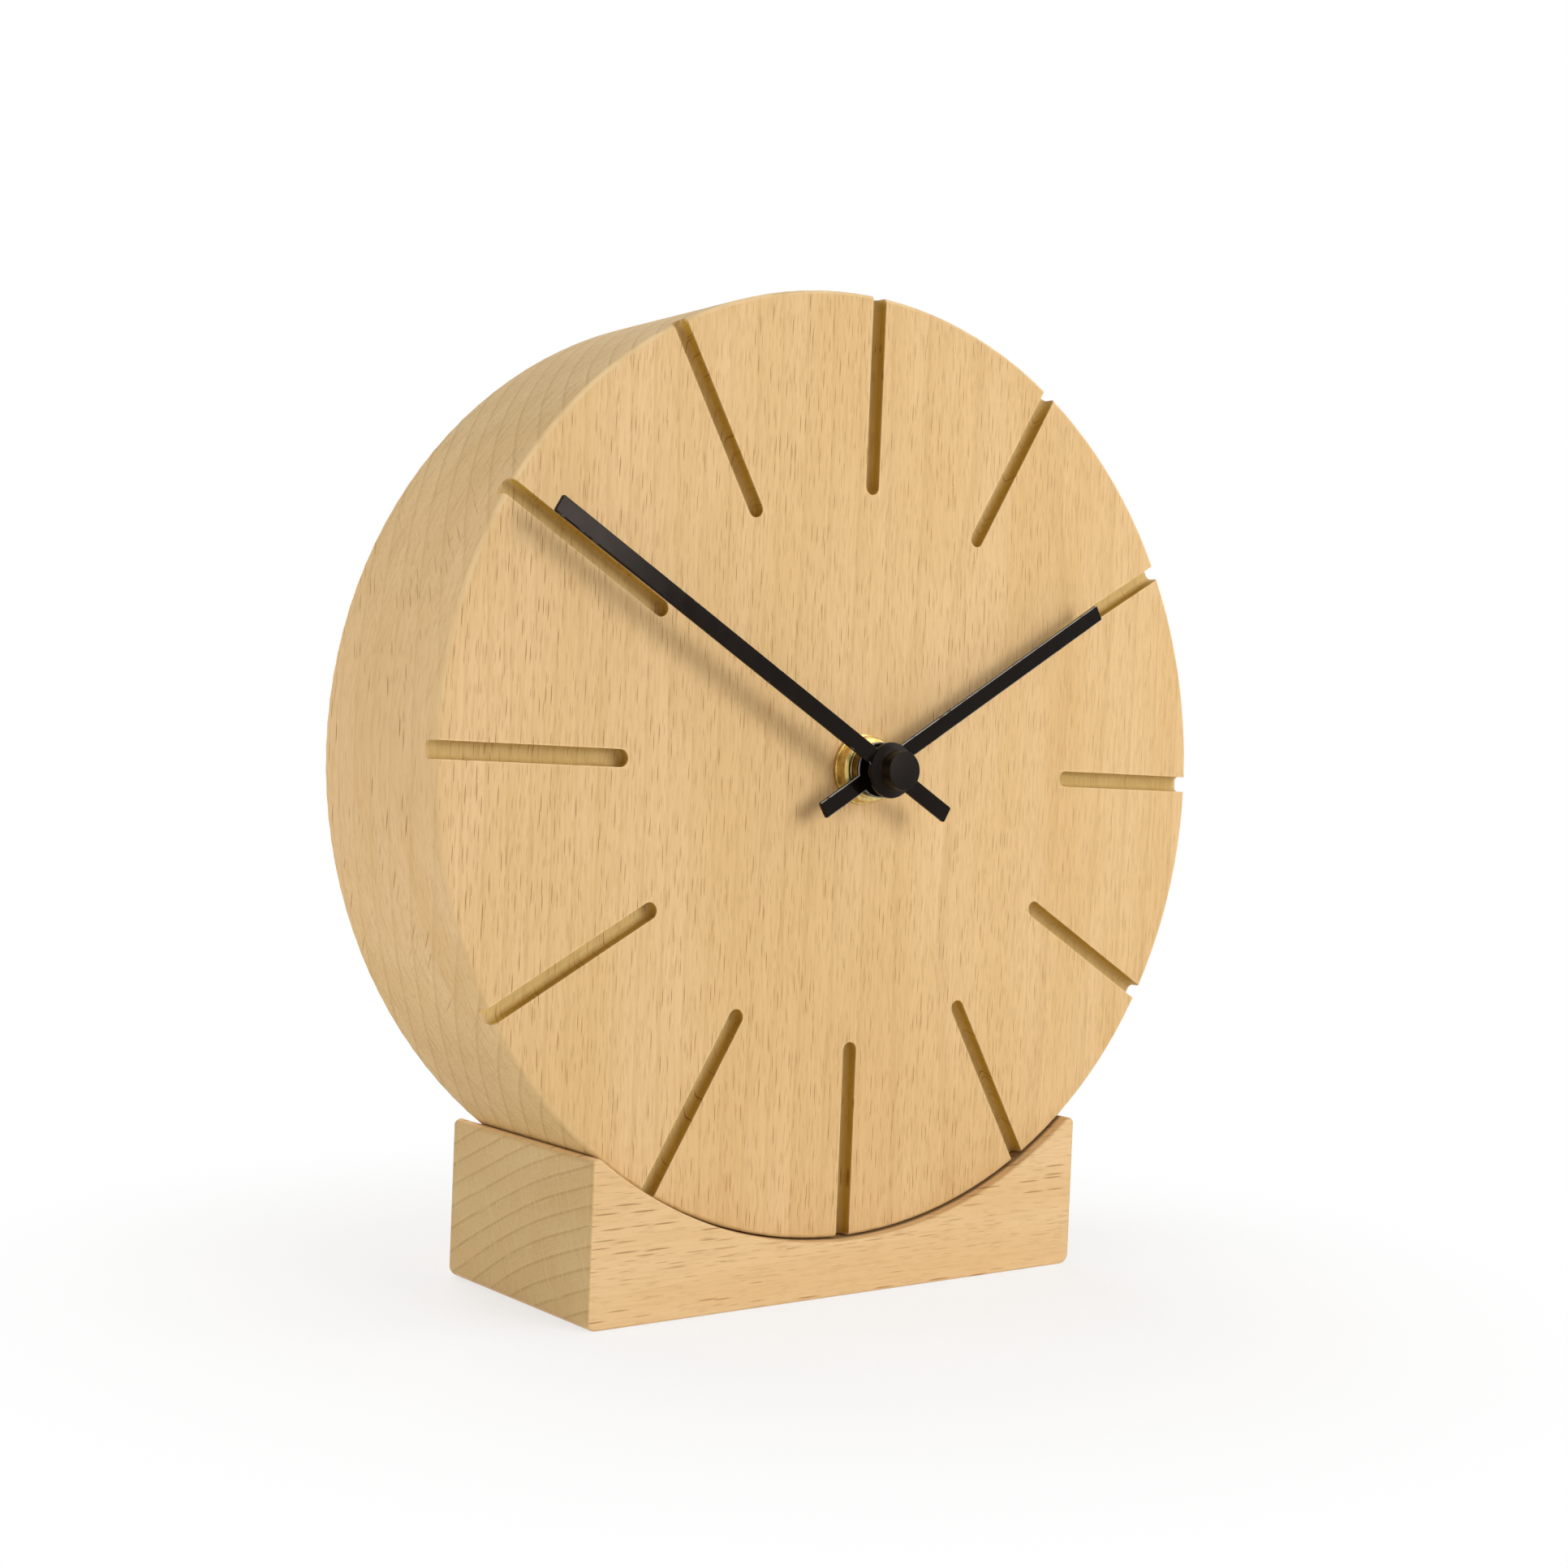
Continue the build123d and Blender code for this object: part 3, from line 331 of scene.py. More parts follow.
def beech(name, size, endMaskOf, disc=False):
    finish = Finish(name)
    x, y, along = finish.axes(finish.place(size["pith"], size["turn"]))
    wander = finish.drawn((x, y, along), *grainLook["wander"]) - 0.5
    around = x.angle(0 - y) * size["reach"] + wander * grainLook["sway"]
    grain = (around, lengthOf(x, y), along)
    flecks, lot = flecksOf(finish, finish.vector(*grain), size["cell"], size["half"])
    shifted = finish.vector(*(axis + shift for axis, shift in zip(grain, grainLook["smallShift"])))
    small, smallLot = flecksOf(finish, shifted, size["smallCell"], size["smallHalf"])
    fibres = finish.drawn(grain, *grainLook["fibres"])
    streaks = finish.drawn(grain, *grainLook["streaks"])
    broad = finish.drawn(grain, *grainLook["broad"])
    rays = abs(finish.drawn(grain, *grainLook["rays"]) - 0.5).rise(*grainLook["raysShow"])
    ringX, ringY, unused = finish.axes(finish.place(size["ringPith"], size["turn"]))
    phase = ((lengthOf(ringX, ringY) + wander * grainLook["ringSway"]) / size["ringWidth"]).fraction()
    ring = phase * grainLook["ringSlope"] + phase.band(*grainLook["ringLine"]) * grainLook["ringLineShare"]
    end = endMaskOf(finish)

    colour = finish.mix(broad.rise(*grainLook["broadShow"]), size["pale"], size["warm"])
    colour = finish.mix(ring * (size["ringFace"] + end * size["ringEnd"]), colour, beechLook["ring"])
    threads = fibres.rise(*grainLook["fibresShow"]) + streaks.rise(*grainLook["streaksShow"])
    colour = finish.mix(threads * size["fibre"], colour, beechLook["ring"])
    markColour = finish.mix(end * size["rays"], beechLook["fleck"], beechLook["ray"])
    if disc:  # fewer flecks come through on the rim, its end grain and the face's right side
        rim = rimOf(finish)
        flecks = flecks * (1 - rim * lot.fall(*discMarks["rim"]))
        small = small * (1 - rim * smallLot.fall(*discMarks["rimSmall"]))
    marks = flecks.most(small * grainLook["smallShare"]) * size["marks"]
    if disc:
        marks = marks * (1 - end * discMarks["endBare"])
        marks = marks * (1 - x.rise(*discMarks["right"]) * discMarks["rightBare"])
    colour = finish.mix(marks, colour, markColour)
    colour = finish.mix(end * rays * size["rays"] * grainLook["rayShare"], colour, beechLook["ray"])
    if disc:
        colour = rimScores(finish, colour, rim, end)
    colour = finish.stain(end, colour, size["end"])
    if disc:
        # painted shade in the hour grooves
        wallShade, floor = grooveShade(finish)
        colour = finish.stain(wallShade, colour, beechLook["wallShade"])
        colour = finish.stain(floor, colour, beechLook["floor"])
        # painted highlight: paler rounded rims, more above, and paler groove edges
        colour = finish.mix(discEdgeHighlight(finish).most(grooveEdgeHighlight(finish)), colour, beechLook["edgeHighlight"])
    else:
        # painted shade where the disc sits in the cradle
        colour = finish.mix(cradleSeamShade(finish), colour, beechLook["seamShade"])

    roughness = beechLook["roughness"] + (fibres - 0.5) * beechLook["roughSpread"]
    pores = fibres * beechLook["poreShare"] - flecks * beechLook["poreShare"]
    normal = finish.bump(pores, beechLook["poreDepth"], beechLook["poreStrength"])
    return finish.surface(colour, roughness, normal, Specular_IOR_Level=beechLook["specular"])


# the disc's rim: distances in from its edge, and height as a share of the radius where end grain shows
rimLook = {"side": (0.9, 0.2), "end": (0.2, 0.75)}
scoreLook = {
    "lean": (0.03, 0.05), "leanBy": 4, "darkCell": (8, 1.6, 5), "darkHalf": (4.2, 0.24, 5), "dark": (0.26, 0.4),
    "shift": (11, 3), "lightCell": (11, 2.2, 5), "lightHalf": (5.2, 0.24, 5), "light": (0.25, 0.25),
}
# painted highlight on the rounded rims, stronger higher up
arrisHighlightLook = {
    "side": (0.9, 0.4), "face": (-0.9, -0.4), "height": (-15, 40), "low": 0.3, "more": 0.35,
    "patches": (0.16, 2), "patchesShow": (0.3, 0.65), "even": 0.65, "patchShare": 0.5,
}
# the hour grooves: distances from their sides and depths below the face
grooves = {"count": 12, "half": 1.5, "from": 49.5}
# depths below the face where shade is painted on the groove walls and floors
grooveShadeLook = {"rim": (0.6, 0.3), "wallShade": (0.1, 0.5), "floor": (1.5, 2.5), "below": (3.3, 3.6)}
# painted highlight along the grooves' edges
grooveHighlightLook = {
    "line": ((-0.12, 0.0), (0.1, 0.32)), "inner": (-0.5, 0.0), "depth": (0.1, 0.3),
    "patches": (0.3, 2), "patchesShow": (0.3, 0.6), "share": 0.3,
}
# painted shade at the seam between disc and block
seamShadeLook = {"gap": (0.2, 0.55), "side": (-0.1, 0.7), "share": 0.62}


def nearRim(radius, start, end):
    return radius.rise(discRadius - start, discRadius - end)


def rimOf(finish):
    x, y, z = finish.axes(finish.place(discCentre))
    return nearRim(lengthOf(x, z), *rimLook["side"])


def discEnd(finish):  # end grain shows on the rim, above and below
    x, y, z = finish.axes(finish.place(discCentre))
    return rimOf(finish) * (abs(z) / discRadius).rise(*rimLook["end"])


def rimScores(finish, colour, rim, end):  # vessels cut aslant and sanding, drawn out round the rim
    x, y, z = finish.axes(finish.place(discCentre))
    arc = x.angle(z) * discRadius
    arcScale, yScale = scoreLook["lean"]
    lean = y + finish.noise(finish.vector(arc * arcScale, y * yScale, 0), 1, 1) * scoreLook["leanBy"]
    dark, unused = flecksOf(finish, finish.vector(arc, lean, 0), scoreLook["darkCell"], scoreLook["darkHalf"])
    arcShift, leanShift = scoreLook["shift"]
    light, unused = flecksOf(finish, finish.vector(arc + arcShift, lean + leanShift, 0),
                             scoreLook["lightCell"], scoreLook["lightHalf"])
    for score, key, tone in ((dark, "dark", "ring"), (light, "light", "ray")):
        everywhere, onEnd = scoreLook[key]
        colour = finish.mix(rim * score * (everywhere + end * onEnd), colour, beechLook[tone])
    return colour


def discEdgeHighlight(finish):  # painted highlight on the rounded rims, paler, more so above
    x, y, z = finish.axes(finish.place(discCentre))
    corner = nearRim(lengthOf(x, z), *arrisHighlightLook["side"]) * (abs(y) - discHalf).rise(*arrisHighlightLook["face"])
    patches = finish.noise(finish.place(), *arrisHighlightLook["patches"]).rise(*arrisHighlightLook["patchesShow"])
    height = arrisHighlightLook["low"] + z.rise(*arrisHighlightLook["height"]) * arrisHighlightLook["more"]
    return corner * height * (arrisHighlightLook["even"] + patches * arrisHighlightLook["patchShare"])


def grooveShade(finish):  # painted shade in the grooves: walls darker and browner, floors a little darker and yellower
    x, y, z = finish.axes(finish.place(dialCentre))
    inside = 1 - nearRim(lengthOf(x, z), *grooveShadeLook["rim"])
    return (y.band(grooveShadeLook["wallShade"], grooveShadeLook["floor"]) * inside,
            y.band(grooveShadeLook["floor"], grooveShadeLook["below"]) * inside)


def grooveEdgeHighlight(finish):  # painted highlight: a pale line along the grooves' edges on the face, in patches
    x, y, z = finish.axes(finish.place(dialCentre))
    radius = lengthOf(x, z)
    step = math.tau / grooves["count"]
    angle = ((x.angle(z) / step + 0.5).fraction() - 0.5) * step
    line = (abs(radius * angle.sine()) - grooves["half"]).band(*grooveHighlightLook["line"])
    patches = finish.noise(finish.place(), *grooveHighlightLook["patches"]).rise(*grooveHighlightLook["patchesShow"])
    outside = (radius - grooves["from"]).rise(*grooveHighlightLook["inner"])
    return line * outside * abs(y).fall(*grooveHighlightLook["depth"]) * patches * grooveHighlightLook["share"]


def cradleSeamShade(finish):  # painted shade: a dark line where the disc sits in the block
    x, y, z = finish.axes(finish.place(discCentre))
    gap = (lengthOf(x, z) - discRadius).fall(*seamShadeLook["gap"])
    return gap * (abs(y) - discHalf).fall(*seamShadeLook["side"]) * seamShadeLook["share"]


def blockEnd(finish):
    x, y, z = finish.axes(finish.place())
    return (abs(x) - blockHigh.x / mm).rise(*blockEnds)


materials = {
    "beech_disc": beech("beech_disc", discGrain, discEnd, True),
    "beech_block": beech("beech_block", blockGrain, blockEnd),
}
print("beech made")

# black paint on the hands and the cap; noise as scale per mm, detail, roughness
blackLook = {
    # the bare tone is worn metal and also a painted highlight on the hands' front edges
    "deep": tint(11, 8, 5), "worn": tint(20, 15, 10), "bareAndHighlight": tint(196, 194, 190),
    "specularTint": (1, 0.82, 0.73, 1), "haze": (0.35, 3), "grit": (9.0, 2), "roughHaze": 0.16, "roughGrit": 0.06,
    "gritDepth": 0.004, "gritStrength": 0.25, "bareAndHighlightNoise": (0.5, 3, 0.6), "bareAndHighlightSpread": 0.2, "bareAndHighlightShare": 0.5,
}
# a hand's half width and hub in mm, and its rubbed edge as distances from its side, hub and front
handLook = {
    "half": 1.55, "hub": 5.0, "side": (-0.2, -0.1), "past": (-0.3, -0.1), "front": (0.12, 0.3),
    "roughness": 0.13, "specular": 0.112,
}
hands = {
    # where each hand's pale front edges begin: worn paint and a painted highlight
    "hour": {"angle": 58.4, "bareAndHighlightFrom": 0.28},
    "minute": {"angle": -60.3, "bareAndHighlightFrom": 0.6},
}
capFinish = {"roughness": 0.36, "specular": 0.12}


def satinBlack(name, look, edgeOf=None, bareAndHighlightFrom=0.0):
    finish = Finish(name)
    coords = finish.place()
    haze = finish.noise(coords, *blackLook["haze"])
    grit = finish.noise(coords, *blackLook["grit"])
    colour = finish.mix(haze, blackLook["deep"], blackLook["worn"])
    rough = look["roughness"] + (haze - 0.5) * blackLook["roughHaze"] + (grit - 0.5) * blackLook["roughGrit"]
    extra = {"Specular_IOR_Level": look["specular"], "Specular_Tint": blackLook["specularTint"]}
    if edgeOf:  # paint rubbed through to the metal here and there; the pale metallic front edges are wear and also a painted highlight
        bareAndHighlightPatches = finish.noise(coords, *blackLook["bareAndHighlightNoise"]).rise(bareAndHighlightFrom, bareAndHighlightFrom + blackLook["bareAndHighlightSpread"])
        bareAndHighlight = edgeOf(finish) * bareAndHighlightPatches * blackLook["bareAndHighlightShare"]
        colour = finish.mix(bareAndHighlight, colour, blackLook["bareAndHighlight"])
        extra["Metallic"] = bareAndHighlight
    normal = finish.bump(grit, blackLook["gritDepth"], blackLook["gritStrength"])
    return finish.surface(colour, rough, normal, **extra)


def handEdgeOf(node, angle):  # the front edges of a straight hand, outside its hub
    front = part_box(node)[0].y

    def edge(finish):
        x, y, z = finish.axes(finish.place((dialCentre.x, front, dialCentre.z), (0, math.radians(angle), 0)))
        side = (abs(x) - handLook["half"]).rise(*handLook["side"])
        blade = (lengthOf(x, z) - handLook["hub"]).rise(*handLook["past"])
        return side * blade * y.fall(*handLook["front"])
    return edge


for kind, hand in hands.items():
    handEdge = handEdgeOf(kind + "_hand", hand["angle"])
    materials[kind + "_black"] = satinBlack(kind + "_black", handLook, handEdge, hand["bareAndHighlightFrom"])
materials["cap_black"] = satinBlack("cap_black", capFinish)

# brass with a lathe's fine rings
brassLook = {
    "bright": tint(232, 208, 140), "dull": tint(182, 150, 78), "cloud": (1.1, 3), "cloudShow": (0.3, 0.7),
    "rings": 7, "ringDetail": 3, "cloudShare": 0.6, "ringShare": 0.4, "roughness": 0.24, "roughCloud": 0.16,
    "roughRings": 0.1, "ringDepth": 0.012, "ringStrength": 0.5,
}


def turnedBrass(name):
    finish = Finish(name)
    coords = finish.place(dialCentre)
    x, y, z = finish.axes(coords)
    cloud = finish.noise(coords, *brassLook["cloud"])
    across = finish.vector(lengthOf(x, z) * brassLook["rings"], y * brassLook["rings"], 0)
    rings = finish.noise(across, 1, brassLook["ringDetail"])
    polish = cloud.rise(*brassLook["cloudShow"]) * brassLook["cloudShare"] + rings * brassLook["ringShare"]
    colour = finish.mix(polish, brassLook["dull"], brassLook["bright"])
    rough = brassLook["roughness"] + cloud * brassLook["roughCloud"] + rings * brassLook["roughRings"]
    normal = finish.bump(rings, brassLook["ringDepth"], brassLook["ringStrength"])
    return finish.surface(colour, rough, normal, Metallic=1.0)


materials["brass"] = turnedBrass("brass")

plasticLook = {
    "grain": (5.0, 3), "cloud": (0.12, 2), "cloudShow": (0.3, 0.7), "roughSpread": 0.15,
    "depth": 0.02, "strength": 0.4, "specular": 0.35,
}
metalLook = {
    "cloud": (0.4, 3), "scratches": (0.3, 6.0, 6.0), "scratchDetail": 3, "roughSpread": 0.2,
    "depth": 0.006, "strength": 0.4,
}
# each one's two colours and its roughness
plastics = {
    "movement_black": (tint(34, 34, 35), tint(41, 41, 42), 0.36),
    "knob_plastic": (tint(44, 44, 46), tint(52, 52, 54), 0.42),
    "gasket_rubber": (tint(24, 23, 22), tint(36, 34, 33), 0.8),
    "board_laminate": (tint(126, 104, 62), tint(140, 116, 72), 0.5),
    "chip_resin": (tint(16, 16, 17), tint(28, 28, 30), 0.3),
    "bobbin_plastic": (tint(214, 208, 194), tint(200, 192, 176), 0.45),
    "train_plastic": (tint(232, 228, 216), tint(220, 214, 200), 0.4),
}
metals = {
    "screw_steel": (tint(196, 192, 184), tint(150, 146, 140), 0.32),
    "contact_steel": (tint(206, 204, 200), tint(170, 168, 164), 0.25),
    "crystal_can": (tint(214, 212, 208), tint(180, 178, 175), 0.2),
    "motor_iron": (tint(160, 158, 154), tint(120, 118, 116), 0.4),
    "copper_wire": (tint(196, 116, 66), tint(150, 80, 42), 0.35),
    "rotor_magnet": (tint(96, 94, 92), tint(70, 68, 67), 0.45),
}


def mouldedPlastic(name, first, second, roughness):
    finish = Finish(name)
    coords = finish.place()
    grain = finish.noise(coords, *plasticLook["grain"])
    cloud = finish.noise(coords, *plasticLook["cloud"])
    colour = finish.mix(cloud.rise(*plasticLook["cloudShow"]), first, second)
    rough = roughness + (grain - 0.5) * plasticLook["roughSpread"]
    normal = finish.bump(grain, plasticLook["depth"], plasticLook["strength"])
    return finish.surface(colour, rough, normal, Specular_IOR_Level=plasticLook["specular"])


def plainMetal(name, bright, dull, roughness):
    finish = Finish(name)
    coords = finish.place()
    cloud = finish.noise(coords, *metalLook["cloud"])
    stretched = finish.vectors("MULTIPLY", coords, metalLook["scratches"])
    scratches = finish.noise(stretched, 1, metalLook["scratchDetail"])
    colour = finish.mix(cloud, dull, bright)
    rough = roughness + (scratches - 0.5) * metalLook["roughSpread"]
    normal = finish.bump(scratches, metalLook["depth"], metalLook["strength"])
    return finish.surface(colour, rough, normal, Metallic=1.0)


for name, values in plastics.items():
    materials[name] = mouldedPlastic(name, *values)
for name, values in metals.items():
    materials[name] = plainMetal(name, *values)

finishOf = {
    "clock_disc": "beech_disc", "base_block": "beech_block", "base_screws": "screw_steel",
    "gasket": "gasket_rubber", "face_washer": "brass", "shaft_nut": "brass", "threaded_bush": "brass",
    "hour_hand": "hour_black", "minute_hand": "minute_black", "centre_cap": "cap_black",
    "movement_housing": "movement_black", "movement_cover": "movement_black", "setting_knob": "knob_plastic",
    "battery": "contact_steel", "battery_contact_positive": "contact_steel",
    "battery_contact_negative": "contact_steel", "circuit_board": "board_laminate",
    "quartz_crystal": "crystal_can", "control_chip": "chip_resin", "stator": "motor_iron",
    "coil_core": "motor_iron", "coil_bobbin": "bobbin_plastic", "coil_winding": "copper_wire",
    "rotor": "rotor_magnet", "intermediate_wheel": "train_plastic", "seconds_wheel": "train_plastic",
    "third_wheel": "train_plastic", "centre_wheel": "train_plastic", "minute_tube": "brass",
    "motion_wheel": "train_plastic", "hour_wheel": "train_plastic",
}
for node, name in finishOf.items():
    slots = nodes[node].material_slots
    for slot in slots:
        slot.material = materials[name]
    if not slots:
        nodes[node].data.materials.append(materials[name])
print("finishes given to", len(finishOf), "nodes")

# steps of a full turn, segments of a rounded corner, and the least angle of a sharp edge
shapeLook = {"steps": 96, "roundSegments": 4, "sharp": 35, "merge": 1e-7}


def addPiece(mesh, name, body, slot, replaced=None, sharp=shapeLook["sharp"]):  # shade it, hand it to its body
    bmesh.ops.remove_doubles(mesh, verts=mesh.verts, dist=shapeLook["merge"])
    bmesh.ops.recalc_face_normals(mesh, faces=mesh.faces)
    for face in mesh.faces:
        face.smooth = True
    for edge in mesh.edges:
        edge.smooth = len(edge.link_faces) != 2 or edge.calc_face_angle() < math.radians(sharp)
    data = bpy.data.meshes.new(name)
    mesh.to_mesh(data)
    mesh.free()
    data.materials.append(materials[slot])
    piece = bpy.data.objects.new(name, data)
    bpy.context.scene.collection.objects.link(piece)
    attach(piece, body)
    if replaced:
        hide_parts(replaced)


def shift(mesh, by, verts=None):
    bmesh.ops.translate(mesh, vec=by, verts=verts or mesh.verts)


def turn(mesh, degrees, axis, verts=None):
    bmesh.ops.rotate(mesh, cent=(0, 0, 0), matrix=Matrix.Rotation(math.radians(degrees), 3, axis),
                     verts=verts or mesh.verts)


# a profile of (radius, along) in mm, some corners rounded, spun about the shaft's way or across it
def spun(profile, rounded, centre, alongX=False, steps=shapeLook["steps"]):
    mesh = bmesh.new()
    points = [mesh.verts.new((radius * mm, along * mm, 0)) for radius, along in profile]
    for first, second in zip(points, points[1:]):
        mesh.edges.new((first, second))
    for index, offset in rounded.items():
        bmesh.ops.bevel(mesh, geom=[points[index]], offset=offset * mm, affect="VERTICES",
                        segments=shapeLook["roundSegments"], profile=0.5, material=-1)
    bmesh.ops.spin(mesh, geom=mesh.verts[:] + mesh.edges[:], cent=(0, 0, 0), axis=(0, 1, 0), angle=math.tau,
                   steps=steps, use_merge=True)
    if alongX:
        turn(mesh, -90, "Z")
    shift(mesh, centre)
    return mesh


def join(whole, part):  # add one mesh in work to another
    data = bpy.data.meshes.new("part")
    part.to_mesh(data)
    part.free()
    whole.from_mesh(data)
    bpy.data.meshes.remove(data)


# turned pieces, in mm; rounds are by corner of the profile
capLook = {
    "radius": 3.45, "flare": 4.9, "flareHeight": 0.8, "lip": 0.12, "drop": 0.25,
    "rounds": {1: 0.13, 2: 0.6, 3: 0.05},
}
nutLook = {
    "radius": 6.0, "chamfer": 0.45, "step": 5.0, "stepDrop": 0.08, "bore": 4.03, "mouth": 0.3,
    "rounds": {1: 0.08, 2: 0.1, 3: 0.08, 4: 0.03, 5: 0.03, 6: 0.05}, "sharp": 25,
}


def addCap():
    low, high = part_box("centre_cap")
    front, back = low.y / mm, high.y / mm + capLook["drop"]
    radius, flare = capLook["radius"], capLook["flare"]
    profile = [(0, front), (radius, front), (radius, back - capLook["flareHeight"]),
               (flare, back - capLook["lip"]), (flare, back), (0, back)]
    addPiece(spun(profile, capLook["rounds"], shaftLine), "cap_turned", "seconds_work", "cap_black", "centre_cap")


def addNut():  # a turned nut: chamfered, with a low step round its front
    low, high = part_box("shaft_nut")
    front, back = low.y / mm, high.y / mm
    radius, chamfer, bore, mouth = (nutLook[key] for key in ("radius", "chamfer", "bore", "mouth"))
    step, drop = nutLook["step"], nutLook["stepDrop"]
    profile = [(bore, back), (radius, back), (radius, front + drop + chamfer), (radius - chamfer, front + drop),
               (step, front + drop), (step - drop, front), (bore + mouth, front), (bore, front + mouth),
               (bore, back)]
    mesh = spun(profile, nutLook["rounds"], shaftLine)
    addPiece(mesh, "nut_turned", "case", "brass", "shaft_nut", nutLook["sharp"])


addCap()
addNut()
print("turned pieces added")

# the cell's look, with places in mm from its middle
cellLook = {
    "jacket": tint(52, 66, 84), "jacketWorn": tint(66, 82, 102), "band": tint(186, 188, 190),
    "steel": tint(206, 206, 204), "steelDull": tint(164, 164, 162), "bandPlace": ((13.5, 13.62), (22.0, 22.12)),
    "endRadius": (5.6, 5.75), "endFrom": (23.2, 23.4), "cloud": (0.15, 3), "cloudShow": (0.3, 0.7),
    "scuffs": ((0.4, 3, 3), 4, 0.65), "scuffsShow": (0.62, 0.8), "scuffShare": 0.35, "scuffDepth": 0.003,
    "scuffStrength": 0.3, "roughness": 0.34, "roughScuffs": 0.25, "bandPolish": 0.06, "bandMetal": 0.5,
    "specular": 0.4,
}
# its profile in mm: radius and distance in from that end, or for a shoulder, distances in from side and end
cellShape = {
    "negativeEnd": ((0, 0), (4.7, 0), (4.95, 0.25), (5.75, 0.25), (6.0, 0.1)),
    "negativeShoulder": ((0.5, 0.1), (0, 0.6)),
    "positiveShoulder": ((0, 1.7), (0.45, 1.25)),
    "positiveEnd": ((5.7, 1.25), (5.5, 1.5), (3.2, 1.5), (2.75, 1.3), (2.6, 0.2), (2.4, 0), (0, 0)),
    "rounds": {1: 0.1, 6: 0.25, 7: 0.25, 12: 0.15}, "steps": 72,
}


def cellFinish(name):  # a shrunk plastic jacket with one plain band, and steel ends
    finish = Finish(name)
    low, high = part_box("battery")
    x, y, z = finish.axes(finish.place((low + high) / 2))
    cloud = finish.noise(finish.place(), *cellLook["cloud"])
    scuffs = finish.drawn((x, y, z), *cellLook["scuffs"])
    band = x.band(*cellLook["bandPlace"])
    ends = lengthOf(y, z).fall(*cellLook["endRadius"]) * abs(x).rise(*cellLook["endFrom"])
    colour = finish.mix(cloud.rise(*cellLook["cloudShow"]), cellLook["jacket"], cellLook["jacketWorn"])
    colour = finish.mix(band, colour, cellLook["band"])
    colour = finish.mix(scuffs.rise(*cellLook["scuffsShow"]) * cellLook["scuffShare"], colour, cellLook["band"])
    colour = finish.mix(ends, colour, finish.mix(cloud, cellLook["steelDull"], cellLook["steel"]))
    rough = cellLook["roughness"] + (scuffs - 0.5) * cellLook["roughScuffs"] - band * cellLook["bandPolish"]
    normal = finish.bump(scuffs, cellLook["scuffDepth"], cellLook["scuffStrength"])
    return finish.surface(colour, rough, normal, Metallic=ends.most(band * cellLook["bandMetal"]),
                          Specular_IOR_Level=cellLook["specular"])


def addCell():
    low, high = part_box("battery")
    reach, wide = (high.x - low.x) / 2 / mm, (high.z - low.z) / 2 / mm
    profile = [(radius, inward - reach) for radius, inward in cellShape["negativeEnd"]]
    profile += [(wide - aside, inward - reach) for aside, inward in cellShape["negativeShoulder"]]
    profile += [(wide - aside, reach - inward) for aside, inward in cellShape["positiveShoulder"]]
    profile += [(radius, reach - inward) for radius, inward in cellShape["positiveEnd"]]
    mesh = spun(profile, cellShape["rounds"], (low + high) / 2, True, cellShape["steps"])
    materials["cell_jacket"] = cellFinish("cell_jacket")
    addPiece(mesh, "cell_jacketed", "cell", "cell_jacket", "battery")


# marks that a mould leaves on the movement's back, in mm; sunk is how far they reach into the cover
coverRim = {"width": 1.1, "height": 0.45, "inset": 1.4, "corner": 2.5, "cornerSegments": 6, "sunk": 0.02}
knobRing = {"inside": 6.5, "outside": 7.1, "height": 0.5, "sunk": 0.05, "round": 0.1, "steps": 64}
mouldPin = {
    "inside": 1.4, "outside": 1.7, "height": 0.12, "sunk": 0.05, "round": 0.04, "steps": 40,
    "places": ((-19, 115), (-19, 91), (3, 115)),
}
turnArrow = {
    "radius": 8.9, "width": 0.6, "span": 96, "height": 0.4, "sunk": 0.05, "steps": 28, "head": 1.2, "headPast": 0.3,
}
snapClip = {
    "size": (6.0, 3.2, 0.9), "past": 0.1, "lift": 0.25, "slope": 0.55, "round": 0.15, "roundSegments": 2,
    "across": (-15, 15), "up": (113,),
}


def rimMesh(low, high):  # a raised rim round the cover
    mesh = bmesh.new()
    inset = 2 * coverRim["inset"] * mm
    bmesh.ops.create_grid(mesh, x_segments=1, y_segments=1, size=0.5)
    bmesh.ops.scale(mesh, vec=(high.x - low.x - inset, high.z - low.z - inset, 1), verts=mesh.verts)
    bmesh.ops.bevel(mesh, geom=mesh.verts[:], offset=coverRim["corner"] * mm, affect="VERTICES",
                    segments=coverRim["cornerSegments"], profile=0.5, material=-1)
    inner = mesh.faces[:]
    bmesh.ops.inset_region(mesh, faces=inner, thickness=coverRim["width"] * mm, use_boundary=True,
                           use_even_offset=True)
    bmesh.ops.delete(mesh, geom=inner, context="FACES_ONLY")
    grown = bmesh.ops.extrude_face_region(mesh, geom=mesh.faces[:], use_keep_orig=True)["geom"]
    raised = [vert for vert in grown if isinstance(vert, bmesh.types.BMVert)]
    shift(mesh, (0, 0, coverRim["height"] * mm), raised)
    turn(mesh, -90, "X")
    shift(mesh, ((low.x + high.x) / 2, high.y - coverRim["sunk"] * mm, (low.z + high.z) / 2))
    return mesh


def ringMesh(ring, back, centre):
    inside, outside, foot, top = ring["inside"], ring["outside"], back - ring["sunk"], back + ring["height"]
    profile = [(inside, foot), (inside, top), (outside, top), (outside, foot), (inside, foot)]
    return spun(profile, {1: ring["round"], 2: ring["round"]}, centre, False, ring["steps"])


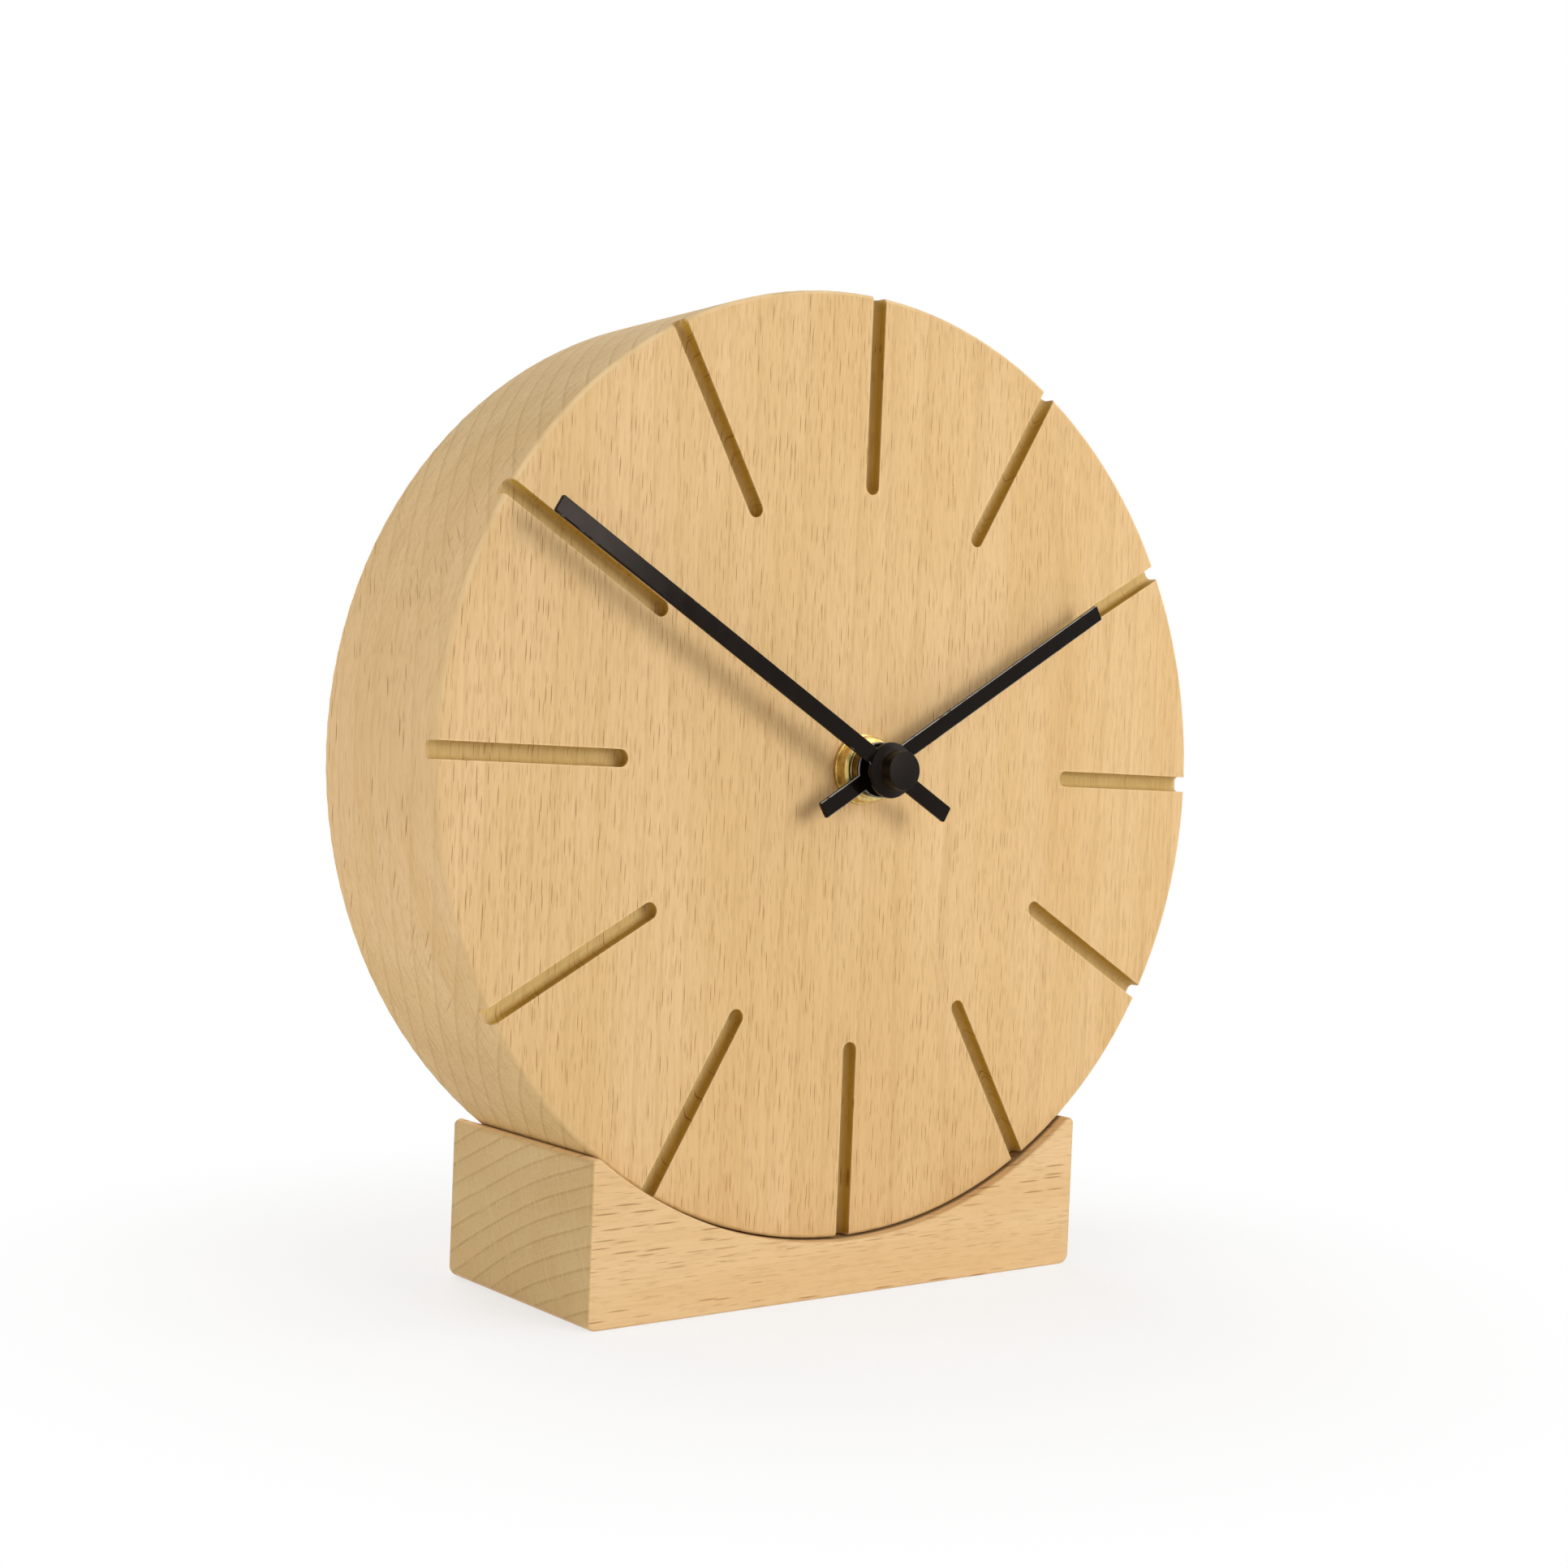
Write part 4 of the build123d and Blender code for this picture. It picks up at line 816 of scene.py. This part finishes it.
def arrowMesh(back, centre):  # a turn arrow with a head at each end
    mesh = bmesh.new()
    radius, half, span = turnArrow["radius"], turnArrow["width"] / 2, turnArrow["span"]
    foot, top = back - turnArrow["sunk"], back + turnArrow["height"]
    corners = [(radius - half, foot), (radius + half, foot), (radius + half, top), (radius - half, top)]
    face = mesh.faces.new([mesh.verts.new((away * mm, along * mm, 0)) for away, along in corners])
    turn(mesh, -span / 2, "Y")
    bmesh.ops.spin(mesh, geom=mesh.verts[:] + mesh.edges[:] + [face], cent=(0, 0, 0), axis=(0, 1, 0),
                   angle=math.radians(span), steps=turnArrow["steps"])
    size = turnArrow["head"] * mm
    for side in (-1, 1):
        head = bmesh.ops.create_cone(mesh, cap_ends=True, segments=3, radius1=size, radius2=size,
                                     depth=(top - foot) * mm)["verts"]
        turn(mesh, 90, "X", head)
        if side < 0:
            turn(mesh, 180, "Y", head)
        shift(mesh, (radius * mm, (foot + top) / 2 * mm, side * turnArrow["headPast"] * mm), head)
        turn(mesh, -side * span / 2, "Y", head)
    turn(mesh, 180, "Y")
    shift(mesh, centre)
    return mesh


def clipMesh(back, x, z, sideways):  # a snap hook over the seam, sloped at its front
    mesh = bmesh.new()
    wide, deep, tall = snapClip["size"]
    middle = back - deep / 2
    bmesh.ops.create_cube(mesh, size=1)
    bmesh.ops.scale(mesh, vec=(wide * mm, deep * mm, tall * mm), verts=mesh.verts)
    shift(mesh, (0, (middle + snapClip["past"]) * mm, snapClip["lift"] * mm))
    slope = [vert for vert in mesh.verts if vert.co.z > 0 and vert.co.y < middle * mm]
    shift(mesh, (0, 0, -snapClip["slope"] * mm), slope)
    bmesh.ops.bevel(mesh, geom=mesh.edges[:], offset=snapClip["round"] * mm, affect="EDGES",
                    segments=snapClip["roundSegments"], profile=0.5, material=-1)
    if sideways:
        turn(mesh, math.copysign(90, x), "Y")
    shift(mesh, (x, 0, z))
    return mesh


def addMoulding():
    low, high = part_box("movement_cover")
    knobLow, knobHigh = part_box("setting_knob")
    knob = ((knobLow.x + knobHigh.x) / 2, 0, (knobLow.z + knobHigh.z) / 2)
    back = high.y / mm
    whole = bmesh.new()
    join(whole, rimMesh(low, high))
    join(whole, ringMesh(knobRing, back, knob))
    for x, z in mouldPin["places"]:
        join(whole, ringMesh(mouldPin, back, (x * mm, 0, z * mm)))
    join(whole, arrowMesh(back, knob))
    for x in snapClip["across"]:
        join(whole, clipMesh(back, x * mm, high.z, False))
    for x in (low.x, high.x):
        for z in snapClip["up"]:
            join(whole, clipMesh(back, x, z * mm, True))
    addPiece(whole, "cover_moulding", "case", "movement_black")


# a dished crown on the setting knob, so a finger can turn it: radius and height in mm
crownLook = {
    "profile": ((0, 0.02), (2.2, 0.05), (3.2, 0.3), (3.7, 0.3), (3.9, -0.05), (0, -0.05)),
    "rounds": {1: 0.3, 2: 0.15, 3: 0.1}, "steps": 64,
}


def addKnobCrown():
    low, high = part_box("setting_knob")
    profile = [(radius, high.y / mm + height) for radius, height in crownLook["profile"]]
    centre = ((low.x + high.x) / 2, 0, (low.z + high.z) / 2)
    mesh = spun(profile, crownLook["rounds"], centre, False, crownLook["steps"])
    addPiece(mesh, "knob_crown", "setting", "knob_plastic")


addCell()
addMoulding()
addKnobCrown()
print("cell and movement details added")
